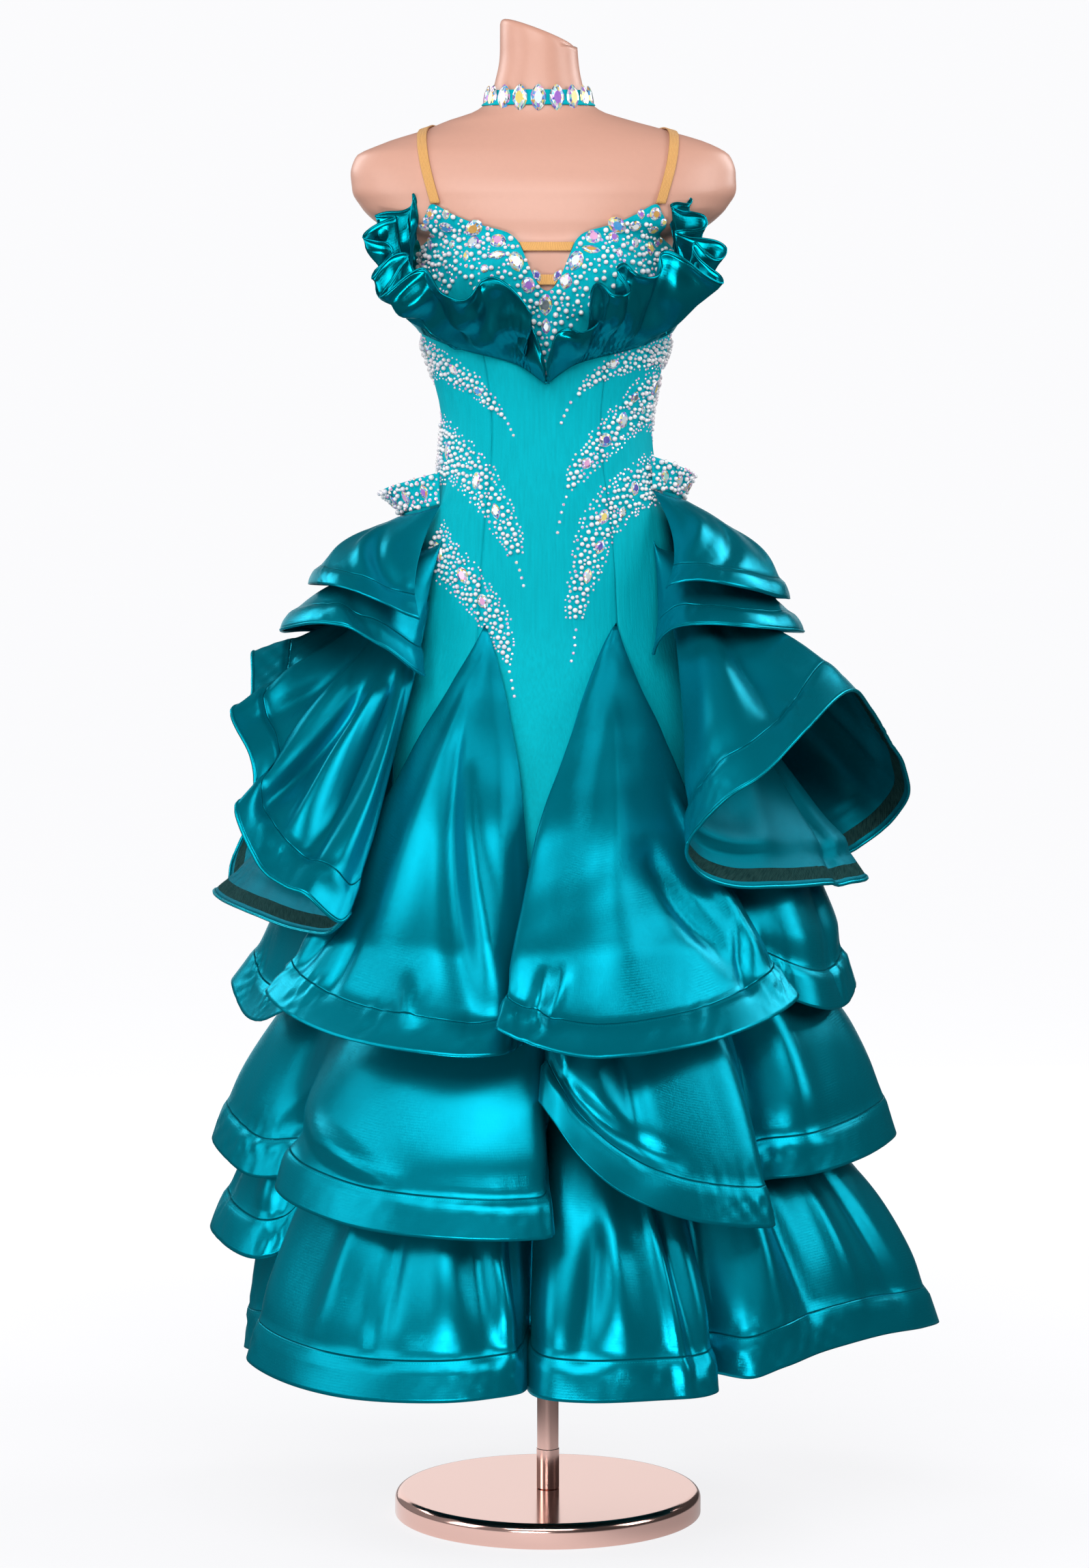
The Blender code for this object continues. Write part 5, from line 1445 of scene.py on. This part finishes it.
TIERS = [
    Tier("tier_middle", TIER_MIDDLE, 0.655, 0.8, 360.0, (480, 42), [
        (33.9, 60, 36.6, 62, 18, -7), (36.9, 80, 38.3, 50, 14, 6), (34.6, 80, 34.9, 240, 30, 6),
        (36, 100, 36.2, 250, 28, -4), (1.6, 55, 4.9, 58, 14, -6), (3.2, 80, 3, 200, 26, 6),
        (4.4, 50, 3.9, 200, 18, -5), (2.2, 50, 2, 120, 12, 4), (8.9, 50, 8.7, 230, 14, 6),
        (9.7, 40, 9.4, 220, 14, -6), (11, 50, 10.8, 220, 26, 6), (14.6, 40, 14.4, 200, 20, -6),
        (16, 50, 15.8, 240, 26, 6), (18.2, 40, 18, 200, 20, -5), (22.4, 50, 22.2, 240, 24, 6),
        (23.8, 40, 23.6, 200, 18, -6), (26.9, 40, 27.1, 220, 20, 5), (29.4, 50, 29.2, 200, 16, -5)]),
    Tier("tier_left", TIER_LEFT, 0.540, 0.8, None, (170, 30), [
        (2.6, 40, 2.6, 200, 20, 5), (7.4, 40, 7.2, 200, 18, -5), (9, 45, 8.8, 160, 14, 4)]),
    Tier("tier_bottom", TIER_BOTTOM, 0.500, -0.4, 360.0, (480, 40), [
        (38.6, 60, 38.9, 260, 22, 7), (39.3, 50, 39.5, 240, 16, -6), (40.2, 70, 40.1, 270, 24, 5),
        (41, 50, 40.7, 220, 16, -5), (41.6, 45, 41.3, 150, 10, 5), (42.2, 45, 41.9, 180, 10, -5),
        (2.8, 50, 3.1, 160, 16, -6), (3.6, 50, 3.4, 200, 20, 6), (4.6, 0, 4.5, 200, 8, 6),
        (5, 40, 4.9, 200, 14, -8), (9.9, 50, 9.6, 220, 18, 7), (10.8, 50, 10.4, 200, 16, -6),
        (11.7, 40, 11.6, 180, 16, 5), (12.6, 40, 12.4, 200, 16, -5), (15, 45, 14.9, 220, 24, 6),
        (20.2, 45, 20, 240, 24, 6), (21.4, 45, 21.2, 200, 18, -6), (26.8, 40, 26.9, 240, 24, 6),
        (28, 40, 27.8, 200, 16, -5), (31.9, 40, 31.9, 220, 18, 5)]),
]
print("tiers:", *(tier.name for tier in TIERS))

# %% Tiers and underskirt
LINING_TOP, LINING_TURN, LINING_HEM = 0.760, (0.660, 0.172), (0.400, 0.192)


def lining_radius(height):
    (high, top), (low, bottom) = LINING_TURN, LINING_HEM
    return blend(bottom, top, (height - low) / (high - low))


def tier_surface(tier):
    seam = (lining_radius(tier.seam_height) + CLOTH + 2 * SEAM_GAP) / math.cos(math.pi / 68)
    closing = None if tier.turn is None else 0.0

    def surface(across, down):
        hem_angle, hem_radius, hem_height = (
            trail(row, across, turn) for row, turn in zip(tier.rows, (tier.turn, closing, closing)))
        angle = blend(calm(tier.rows[0], across, tier.turn), hem_angle, down)
        fullness = 2.9 + tier.lean * np.sin(np.radians(angle))
        radius = blend(seam, hem_radius, blend(1.0 - (1.0 - down) ** fullness, down, 0.42))
        return around(angle, radius, blend(tier.seam_height, hem_height, down))

    return surface


def lining_surface(across, down):
    angle = 360.0 * across
    top = figure(angle, np.full_like(angle, LINING_TOP), 0.0009 - CLOTH / 2 - 2 * SEAM_GAP)
    turn, hem = (around(angle, lining_radius(height), np.full_like(angle, height))
                 for height, _ in (LINING_TURN, LINING_HEM))
    upper = top + (turn - top) * np.minimum(3.0 * down, 1.0)[..., None]
    lower = turn + (hem - turn) * np.clip(1.5 * down - 0.5, 0.0, 1.0)[..., None]
    return np.where((down < 1 / 3)[..., None], upper, lower)


def make_skirt():
    lay_cloth("lining", "underskirt", lining_surface, (96, 18), [lining], None,
              True)
    for order, tier in enumerate(TIERS):
        relief = satin_relief(tier.rows, tier.folds, SKIRT_BAND, 81 + 3 * order)
        lay_cloth("satin", tier.name, tier_surface(tier), tier.grid, [satin_skirt, satin_inside],
                  relief, tier.turn is not None, 1.2)


make_skirt()

# %% [markdown]
# ## Stones and pearls
# Beads are sewn on one by one. In Blender many small things are best made as joined meshes: one
# object for all the beads of a region. A pearl is a small ball of a few dozen faces, and a small
# stone is a cut cone. A large stone is a cone whose top is inset and then split into facets,
# so each facet can take a colour of its own. Its outline is squeezed into a drop or a pointed oval.
# Facets are always taken in one order, because the colours are drawn at random from a seed.

# %% Bead makers
LOT = 40  # beads in one lot
# how sharply an outline narrows upwards and downwards; 0.5 is round
OUTLINES = {"round": (0.5, 0.5), "oval": (0.55, 0.55), "navette": (0.95, 0.95), "drop": (0.52, 0.90),
            "choker": (0.72, 0.80)}


def rest_on(point, normal, turn=0.0):
    """A matrix that sets a bead's Z along the normal, its Y pointing up, turned in its plane."""
    normal = Vector(normal).normalized()
    side = Vector((0.0, 0.0, 1.0)).cross(normal)
    if side.length < 0.05:
        side = Vector((1.0, 0.0, 0.0))
    side.normalize()
    frame_at = Matrix((side, normal.cross(side), normal)).transposed().to_4x4()
    return Matrix.Translation(Vector(point)) @ frame_at @ Matrix.Rotation(turn, 4, "Z")


def faces_of(verts):
    """The faces round some vertices, each once, and in the same order on every run."""
    return list(dict.fromkeys(face for vert in verts for face in vert.link_faces))


class Tray:
    """Beads of one finish. An operator slows down as its mesh grows, so they are made in lots."""

    def __init__(self):
        self.lots = []
        self.open_lot()

    def open_lot(self):
        self.form = bmesh.new()
        self.tint = self.form.faces.layers.float.new("tint")
        self.count = 0

    def close_lot(self):
        bmesh.ops.recalc_face_normals(self.form, faces=self.form.faces)
        self.lots.append(pour(self.form, bpy.data.meshes.new("lot")))

    def take(self):
        if self.count == LOT:
            self.close_lot()
            self.open_lot()
        self.count += 1
        return self.form

    def tint_faces(self, verts, value=None, chance=None):
        for face in faces_of(verts):
            face[self.tint] = value if chance is None else chance.uniform()
            face.smooth = chance is None

    def sew(self, name, finish, slot, *nodes):
        self.close_lot()
        whole = bmesh.new()
        for lot in self.lots:
            whole.from_mesh(lot)
            bpy.data.meshes.remove(lot)
        mesh = pour(whole, bpy.data.meshes.new(name))
        mesh.materials.append(finish)
        tie(add_piece(mesh), slot, *nodes)
        print(name + ":", len(mesh.polygons), "faces")


def add_pearl(tray, point, normal, radius, chance):
    lifted = Vector(point) + Vector(normal) * radius * 0.7
    made = bmesh.ops.create_uvsphere(
        tray.take(), u_segments=8, v_segments=5, radius=radius, matrix=rest_on(lifted, normal)
    )
    tray.tint_faces(made["verts"], chance.uniform())


def add_chaton(tray, point, normal, radius, chance):
    """A small round flat-backed stone."""
    lifted = Vector(point) + Vector(normal) * radius * 0.38
    made = bmesh.ops.create_cone(
        tray.take(), cap_ends=True, segments=8, radius1=radius, radius2=0.55 * radius,
        depth=0.75 * radius, matrix=rest_on(lifted, normal, chance.uniform(0.0, 0.7))
    )
    tray.tint_faces(made["verts"], None, chance)


def add_cut_stone(tray, point, normal, width, height, turn, outline, chance, segments=12):
    """A large stone: crown, inset table and split facets, squeezed to its outline."""
    form = tray.take()
    made = bmesh.ops.create_cone(
        form, cap_ends=True, segments=segments, radius1=1.0, radius2=0.80, depth=0.5
    )
    verts = list(made["verts"])
    for vert in verts:
        vert.co.z += 0.25
    top = [face for face in faces_of(verts) if face.calc_center_median().z > 0.45]
    inset = bmesh.ops.inset_region(form, faces=top, thickness=0.30, depth=0.28)
    table = dict.fromkeys(vert for face in top for vert in face.verts)
    around_table = Matrix.Rotation(math.pi / segments, 3, "Z")
    for vert in table:
        vert.co = around_table @ vert.co
    verts += [vert for face in inset["faces"] for vert in face.verts]
    verts = list(dict.fromkeys(verts))
    sides = [face for face in faces_of(verts) if len(face.verts) == 4]
    bmesh.ops.triangulate(form, faces=sides)
    above, below = OUTLINES[outline]
    stand = rest_on(point, normal, turn)
    deep = 0.22 * min(width, height)
    for vert in verts:
        reach = max(math.hypot(vert.co.x, vert.co.y), 1e-9)
        side, up = vert.co.x / reach, vert.co.y / reach
        power = 2.0 * (above if up > 0 else below)
        x = 0.5 * width * reach * math.copysign(abs(side) ** power, side)
        vert.co = stand @ Vector((x, 0.5 * height * reach * up, deep * vert.co.z))
    tray.tint_faces(verts, None, chance)


def on_body(angle, height, out=CLOTH_OUT + 0.0006):
    """A point on the crepe and its normal."""
    angle, height = np.atleast_1d(angle).astype(float), np.atleast_1d(height).astype(float)
    here = figure(angle, height, out)
    aside = figure(angle + 0.5, height, out) - here
    above = figure(angle, height + 0.002, out) - here
    return here, unit(np.cross(aside, above))


class Beading:
    """The beads of one region: a tray of each kind, and where they sit, so that no two meet."""

    def __init__(self, chance):
        self.chance = chance
        self.pearls, self.chatons, self.stones = Tray(), Tray(), Tray()
        self.points = np.zeros((4000, 3))
        self.reach = np.zeros(4000)
        self.count = 0

    def free(self, point, radius, gap=0.0005):
        away = np.linalg.norm(self.points[: self.count] - point, axis=1)
        return bool((away > self.reach[: self.count] + radius + gap).all())

    def fill(self, point, radius):
        self.points[self.count] = point
        self.reach[self.count] = radius
        self.count += 1

    def add_stone(self, angle, height, wide, tall, turn, outline):
        """One large stone at its angle and height, wide and tall in millimetres."""
        point, normal = on_body(angle, height)
        add_cut_stone(self.stones, point[0], normal[0], wide / 1000, tall / 1000,
                      math.radians(turn), outline, self.chance)
        for share in (-0.32, 0.0, 0.32):
            up = point[0] + (0.0, 0.0, share * tall / 1000 * math.cos(math.radians(turn)))
            self.fill(up, 0.36 * wide / 1000)

    def add_bead(self, point, normal, radius, share, spacing=1.0, lift=0.0):
        """A chaton, or else a pearl, where there is room; share is how often it is a chaton."""
        if not self.free(point, spacing * radius):
            return
        self.fill(point, spacing * radius)
        lifted = point + lift * normal
        if self.chance.uniform() < share:
            add_chaton(self.chatons, lifted, normal, 0.92 * radius, self.chance)
        else:
            add_pearl(self.pearls, lifted, normal, radius, self.chance)

    def scatter(self, spots):
        """Beads at the spots: angle, height, radius, spacing and share of chatons."""
        points, normals = on_body(spots[:, 0], spots[:, 1])
        for point, normal, (radius, spacing, share) in zip(points, normals, spots[:, 2:]):
            self.add_bead(point, normal, radius, share, spacing)

    def sew(self, region, *nodes):
        self.pearls.sew("pearls_" + region, pearl, "crepe", *nodes)
        self.chatons.sew("chatons_" + region, blush, "crepe", *nodes)
        self.stones.sew("stones_" + region, rainbow, "crepe", *nodes)
        print("beads sewn on the", region, self.count)


print("outlines of stones:", *OUTLINES)

# %% [markdown]
# ## Garlands on the body
# Six garlands sweep in from the sides and thin out to a single row of small stones. A garland is a
# path with a width. Beads are dropped in it at random, each kept only if it touches no other,
# large pearls first and near the middle, small stones last and towards the rims. The
# back carries the same garlands, mirrored.

# %% Garlands
# angle, height and half width along each garland, then its tail of single stones
GARLANDS = [
    ([(-94, 1.240, 0.020), (-78, 1.240, 0.016), (-64, 1.235, 0.013), (-52, 1.223, 0.012),
      (-40, 1.211, 0.009), (-31, 1.193, 0.006), (-24, 1.179, 0.002)],
     [(-23, 1.176), (-21, 1.170), (-19.5, 1.164), (-18, 1.158)]),
    ([(-94, 1.145, 0.030), (-76, 1.142, 0.028), (-55, 1.134, 0.020), (-38, 1.113, 0.016),
      (-26, 1.084, 0.012), (-18, 1.057, 0.010), (-14.5, 1.034, 0.005)],
     [(-14, 1.026), (-12.5, 1.018), (-11.5, 1.010), (-10.6, 1.002)]),
    ([(-66, 1.046, 0.022), (-55, 1.031, 0.018), (-41, 1.010, 0.015), (-30, 0.986, 0.012),
      (-23, 0.965, 0.011), (-18, 0.939, 0.006), (-16, 0.920, 0.001)],
     [(-15.5, 0.913), (-14.5, 0.904), (-13.8, 0.896), (-13, 0.888)]),
    ([(94, 1.245, 0.016), (74, 1.246, 0.013), (52, 1.240, 0.010), (34, 1.229, 0.008),
      (24, 1.216, 0.005), (16.5, 1.202, 0.002)],
     [(13, 1.192), (11, 1.184), (9.5, 1.178), (8, 1.171)]),
    ([(94, 1.195, 0.032), (80, 1.200, 0.030), (63, 1.194, 0.022), (46, 1.173, 0.016),
      (32, 1.152, 0.013), (21, 1.131, 0.010), (14, 1.115, 0.007), (10.5, 1.102, 0.002)],
     [(9, 1.094), (7.5, 1.086), (6.4, 1.078), (5.4, 1.068), (4.4, 1.057)]),
    ([(80, 1.116, 0.020), (66, 1.112, 0.020), (51, 1.104, 0.016), (34, 1.087, 0.017),
      (25, 1.067, 0.015), (20, 1.045, 0.013), (17, 1.018, 0.011), (13, 0.993, 0.008),
      (11.5, 0.968, 0.006)],
     [(11.8, 0.956), (11, 0.948), (11.2, 0.940), (10.4, 0.932), (9.5, 0.924)]),
]
# angle, height, width, height of the stone, turn in degrees and outline
GARLAND_STONES = [
    (-76, 1.247, 12, 17, 20, "drop"), (-53, 1.227, 11, 16, 40, "navette"),
    (-38, 1.204, 10, 13, 50, "oval"), (-68, 1.143, 11, 21, 0, "navette"), (-39, 1.111, 11, 19, 0, "oval"),
    (-25.5, 1.079, 10, 18, 15, "navette"), (-60, 1.036, 16, 26, 30, "navette"),
    (-40.5, 1.012, 13, 20, 30, "drop"), (-29, 0.985, 12, 17, 25, "drop"),
    (34.5, 1.232, 11, 15, -60, "navette"), (77, 1.208, 15, 19, -20, "oval"),
    (54, 1.198, 11, 15, -35, "navette"), (46, 1.174, 13, 19, -10, "oval"), (65, 1.185, 9, 9, 0, "round"),
    (33, 1.153, 15, 17, -40, "drop"), (21, 1.129, 12, 15, -35, "navette"),
    (49.5, 1.103, 12, 17, -20, "drop"), (27, 1.073, 12, 18, -25, "drop"),
    (38, 1.078, 9, 13, -20, "navette"), (24, 1.042, 11, 17, -25, "navette"),
    (17.5, 1.012, 10, 17, -10, "navette"),
]
TORSO_RADIUS = 0.115
# radius of the beads, how much of the width they fill, and how many are tried
BEAD_ROUNDS = ((0.0025, 0.7, 150), (0.0022, 0.9, 420), (0.0018, 1.1, 900), (0.0014, 1.4, 1000))
TAIL_BEAD = (0.0019, 0.8, 1.0)


def garland_spots(path, chance, radius, fill, tries):
    """Random spots along a garland, crowded towards its middle line."""
    path = np.array(path, float).T
    stations = np.arange(path.shape[1])
    where = stations[-1] * chance.uniform(size=tries) ** 0.9
    angle, height, half = (np.interp(where, stations, column) for column in path)
    step = np.minimum(where + 0.05, stations[-1])
    (turn, rise), (turn_back, rise_back) = (
        [np.interp(place, stations, column) for column in path[:2]] for place in (step, step - 0.1))
    reach, rise = TORSO_RADIUS * np.radians(turn - turn_back), rise - rise_back
    long = np.hypot(reach, rise)
    aside = half * fill * chance.uniform(-1.0, 1.0, tries)
    size = radius * chance.uniform(0.85, 1.12, tries)
    share = np.where(radius < 0.0022, 0.35 + 0.5 * np.abs(aside) / (half + 1e-6), 0.0)
    angle = angle - np.degrees(aside * rise / long / TORSO_RADIUS)
    spots = np.stack([angle, height + aside * reach / long, size, np.ones(tries), share], axis=1)
    return spots[half * 1.25 > 0.8 * size]


def behind(row):
    """A row of a table with its angle mirrored to the back."""
    return (math.copysign(180.0, row[0]) - row[0], *row[1:])


def make_garlands():
    chance = np.random.default_rng(5)
    for side, place, sign in (("front", tuple, 1), ("back", behind, -1)):
        beading = Beading(chance)
        for stone in GARLAND_STONES:
            angle, height, wide, tall, turn, outline = place(stone)
            beading.add_stone(angle, height, wide, tall, sign * turn, outline)
        for path, tail in GARLANDS:
            for radius, fill, tries in BEAD_ROUNDS:
                beading.scatter(garland_spots([place(row) for row in path], chance, radius, fill, tries))
            beading.scatter(np.array([place(row) + TAIL_BEAD for row in tail]))
        beading.sew("body_" + side, "panel_front", "panel_left", "panel_right", "panel_back")


make_garlands()

# %% [markdown]
# ## Beads on the bodice
# The top edge is set thickly with large stones and pearls, which scatter and grow smaller towards
# the frill. The two stones under the notch are listed one by one, and so are those along the cups.

# %% Bodice beads
BODICE_STONES = [
    (-33.5, 1.386, 9, 11, 0, "drop"), (33, 1.386, 9, 11, 0, "drop"), (-44.5, 1.380, 9, 9, 0, "round"),
    (45, 1.379, 9, 9, 0, "round"), (-57, 1.366, 11, 9, 0, "oval"), (59.5, 1.361, 11, 9, 0, "oval"),
    (-39.5, 1.387, 10, 12, 0, "round"), (-63, 1.358, 10, 15, 0, "drop"), (-40, 1.373, 17, 14, 0, "oval"),
    (-28.5, 1.371, 23, 17, 35, "drop"), (-32, 1.357, 14, 14, 0, "round"),
    (-20.5, 1.358, 17, 17, 0, "round"), (-20.5, 1.343, 20, 10, 10, "navette"),
    (-12.8, 1.336, 16, 22, 15, "drop"), (-8.0, 1.312, 15, 17, 20, "round"),
    (-0.4, 1.292, 15, 23, 0, "drop"), (0.0, 1.270, 10, 18, 0, "navette"),
    (8.0, 1.316, 14, 18, -15, "navette"), (12.0, 1.337, 16, 22, -20, "drop"),
    (18.5, 1.349, 20, 10, -10, "navette"), (20.0, 1.362, 17, 17, 0, "round"),
    (29, 1.362, 13, 13, 0, "round"), (26.6, 1.374, 22, 17, -30, "drop"), (34.5, 1.374, 15, 12, 0, "oval"),
    (38.5, 1.387, 14, 14, 0, "round"), (52, 1.352, 13, 16, 0, "drop"), (64, 1.338, 12, 16, 0, "navette"),
    (-76, 1.334, 12, 16, 0, "navette"), (78, 1.333, 12, 16, 0, "oval"), (-51, 1.374, 14, 12, 20, "oval"),
    (-35, 1.343, 9, 13, 10, "navette"), (-45, 1.356, 9, 9, 0, "round"), (47, 1.371, 15, 12, -20, "oval"),
    (41, 1.357, 10, 14, -30, "drop"), (30.5, 1.346, 9, 13, -25, "navette"),
    (-4.5, 1.322, 9, 14, 30, "navette"), (4.6, 1.322, 9, 14, -30, "navette"),
    (-25, 1.329, 9, 9, 0, "round"), (57, 1.358, 9, 9, 0, "round"),
]
# angle of the edge, and how far down from it the beads reach
BEAD_DEPTH = np.array([(0.0, 0.085), (8.0, 0.090), (20.0, 0.075), (35.0, 0.072), (60.0, 0.060),
                       (90.0, 0.040), (120.0, 0.026), (180.0, 0.022)]).T
# radius of the beads, how many are tried, and how they crowd towards the edge
BODICE_ROUNDS = ((0.0028, 800, 1.0), (0.0023, 2800, 1.1), (0.0018, 4200, 1.0), (0.0014, 4000, 0.8))


def make_bodice_beads():
    chance = np.random.default_rng(8)
    beading = Beading(chance)
    for stone in BODICE_STONES:
        beading.add_stone(*stone)
    for radius, tries, pull in BODICE_ROUNDS:
        turn = chance.uniform(-1.0, 1.0, tries)
        angle = 180.0 * turn * np.abs(turn) ** 0.6
        fall = chance.uniform(size=tries) ** pull
        level = neckline(angle) - 0.0025 - fall * smooth(*BEAD_DEPTH, np.abs(angle))
        spacing = 1.0 + 0.8 * np.maximum(fall - 0.35, 0.0)
        share = np.where(radius < 0.0025, 0.40 + 0.3 * fall, 0.0)
        size = radius * chance.uniform(0.85, 1.15, tries)
        spots = np.stack([angle, level, size, spacing, share], axis=1)
        beading.scatter(spots[level > bust_seam(angle) + 0.010])
    beading.sew("bodice", "bodice_front", "bodice_back")


make_bodice_beads()

# %% [markdown]
# ## Beads on the hip collars
# Each collar is covered with beads outside, round a row of large cut stones along its middle.

# %% Collar beads
COLLAR_ROUNDS = ((0.0027, 500), (0.0022, 900), (0.0016, 1100))
COLUMNS, ROWS = 160, 30


def make_collar_beads():
    chance = np.random.default_rng(9)
    for hip in HIPS:
        beading = Beading(chance)
        laid = lay(collar_surface(hip), COLUMNS, ROWS)
        normals = normals_of(laid.points, False)
        away = laid.points * SIDEWAYS
        normals = normals * np.sign((normals * away).sum(axis=-1, keepdims=True))
        for column in range(12, COLUMNS, 17):
            point, normal = laid.points[ROWS // 2, column], normals[ROWS // 2, column]
            turn, outline = chance.uniform(-0.4, 0.4), ("navette", "drop")[column % 2]
            add_cut_stone(beading.stones, point + 0.0008 * normal, normal, 0.011, 0.017, turn,
                          outline, chance)
            beading.fill(point, 0.0055)
        for radius, tries in COLLAR_ROUNDS:
            for _ in range(tries):
                spot = int(chance.uniform(0, ROWS - 1)), int(chance.uniform(1, COLUMNS - 1))
                size = radius * chance.uniform(0.85, 1.12)
                beading.add_bead(laid.points[spot], normals[spot], size, 0.45, lift=0.0007)
        beading.sew("collar_" + hip.name, "hip_collar_" + hip.name)


make_collar_beads()

# %% [markdown]
# ## Choker
# A teal elastic band round the neck carries eighteen large cut drops, points down.

# %% Choker
CHOKER_HEIGHT, CHOKER_TILT, CHOKER_HALF, CHOKER_STONES = 1.5135, 0.0030, 0.0078, 18
DROP_WIDTH, DROP_HEIGHT = 0.0165, 0.0280


def choker_level(angle):
    """Height of the choker, which sits a little lower in front."""
    return CHOKER_HEIGHT - CHOKER_TILT * np.cos(np.radians(angle))


def choker_surface(across, down):
    angle = 360.0 * across
    height = choker_level(angle) + blend(CHOKER_HALF, -CHOKER_HALF, down)
    return figure(angle, height, 0.0018)


def make_choker():
    lay_cloth("crystal", "choker", choker_surface, (120, 6), [choker_elastic], closed=True,
              name="choker_band")
    chance = np.random.default_rng(17)
    stones = Tray()
    for order in range(CHOKER_STONES):
        angle = 360.0 * order / CHOKER_STONES
        point, normal = on_body(angle, choker_level(angle) - 0.0005, 0.0030)
        flat = Vector(normal[0]) * Vector((1.0, 1.0, 0.35))
        add_cut_stone(stones, point[0], flat, DROP_WIDTH, DROP_HEIGHT, 0.0, "choker", chance, 14)
    stones.sew("choker_drops", rainbow, "crystal", "choker")


choker_elastic = make_crepe("choker_elastic", (0.0, 0.42, 0.50))
make_choker()

# %% [markdown]
# ## Floor, light and air
# A pale floor and a white backdrop keep the outline clear. One large soft light above the camera
# lies along the fronts of the folds. Smaller ones on the left, on the right and behind each
# shoulder draw the edges of the folds, and two low ones lift the hems and the base. The world
# and the floor are white to the camera, but dim to the cloth, because satin that mirrors only
# white loses its depth. Near the base the floor also glows for mirrors, as polished metal
# shows the floor around it.

# %% Studio
WHITE = (1.0, 1.0, 1.015, 1.0)  # a touch of blue
# name, place, aim, size and power
LIGHTS = [
    ("key_light", (-0.35, -2.9, 2.9), (0.0, 0.0, 0.95), (3.2, 1.9), 92.0),
    ("left_light", (-2.7, -1.2, 1.6), (0.0, 0.0, 0.9), (1.3, 2.2), 27.0),
    ("right_light", (2.4, -0.7, 2.0), (0.1, 0.0, 0.75), (1.1, 1.8), 31.0),
    ("left_rim", (-2.1, 1.3, 2.4), (0.0, 0.0, 0.9), (1.0, 1.4), 23.0),
    ("right_rim", (2.1, 1.3, 2.4), (0.0, 0.0, 0.9), (1.0, 1.4), 28.0),
    ("low_front", (-0.5, -2.2, 0.25), (0.0, 0.0, 1.3), (0.9, 0.4), 16.0),
    ("low_back", (-0.3, 3.2, 0.9), (0.0, 0.0, 0.3), (3.0, 1.4), 11.0),
]


def ease_between(value, *limits):
    """A Map Range node that glides; its limits are start, end, first and last."""
    values = {0: value, **dict(enumerate(limits, 1))}
    made = add_node(value.tree, "MapRange", values, interpolation_type="SMOOTHSTEP")
    return Wire(made.outputs[0])


def seen_by(tree, kind):
    """1 for the rays of one kind, 0 for the others."""
    return Wire(add_node(tree, "LightPath").outputs[f"Is {kind} Ray"])


def make_floor():
    form = bmesh.new()
    bmesh.ops.create_circle(form, cap_ends=True, segments=64, radius=40.0)
    mesh = pour(form, bpy.data.meshes.new("studio_floor"))
    finish, shader, there, _ = new_finish("pale_floor", Roughness=0.9, Specular_IOR_Level=0.1,
                                          Emission_Color=WHITE)
    dust = noise(there, 3.0, 2.0)
    away = Wire(add_node(there.tree, "VectorMath", {0: there}, operation="LENGTH").outputs["Value"])
    glow = seen_by(there.tree, "Camera") * ease_between(away, 0.2, 3.0, 0.81, 0.94)
    near = ease_between(away, 0.25, 0.55, 0.75, 0.0)
    near = near * ease_between(parts_of(there)[0], 0.0, 0.2, 1.0, 0.45)
    paint(shader, Base_Color=mix(dust, (0.16, 0.16, 0.165, 1.0), (0.14, 0.14, 0.145, 1.0)),
          Emission_Strength=glow + seen_by(there.tree, "Glossy") * near)
    finish.cycles.emission_sampling = "NONE"
    mesh.materials.append(finish)
    add_piece(mesh)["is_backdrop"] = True


def add_light(name, where, aim, size, power):
    lamp = bpy.data.lights.new(name, "AREA")
    lamp.shape = "RECTANGLE"
    lamp.size, lamp.size_y = size
    lamp.energy = power
    made = bpy.data.objects.new(name, lamp)
    made.location = where
    made.rotation_euler = (Vector(aim) - Vector(where)).to_track_quat("-Z", "Y").to_euler()
    made.visible_camera = False
    bpy.context.scene.collection.objects.link(made)


def make_air():
    world = bpy.data.worlds.new("studio_air")
    bpy.context.scene.world = world
    world.use_nodes = True
    tree = world.node_tree
    side = parts_of(Wire(add_node(tree, "TexCoord").outputs["Generated"]))[0]
    faint = ease_between(side, -0.8, 0.5, 0.27, 0.05)
    strength = seen_by(tree, "Camera") * (0.966 - faint) + faint
    paint(tree.nodes["Background"], Color=WHITE, Strength=strength)


make_floor()
make_air()
for light in LIGHTS:
    add_light(*light)
bpy.context.scene.view_settings.view_transform = "Standard"
bpy.context.scene.view_settings.look = "None"
print("lights:", len(LIGHTS))

# %% [markdown]
# ## Last look
# The dressed part must keep the solids' size, so both boxes are written down and compared.

# %% Sizes and finish
dressed_box = [list(corner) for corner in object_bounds()]
for axis, cad_low, cad_high, low, high in zip("XYZ", *cad_box, *dressed_box):
    print(axis, "grows by", round(1000 * ((high - low) - (cad_high - cad_low)), 1), "mm")
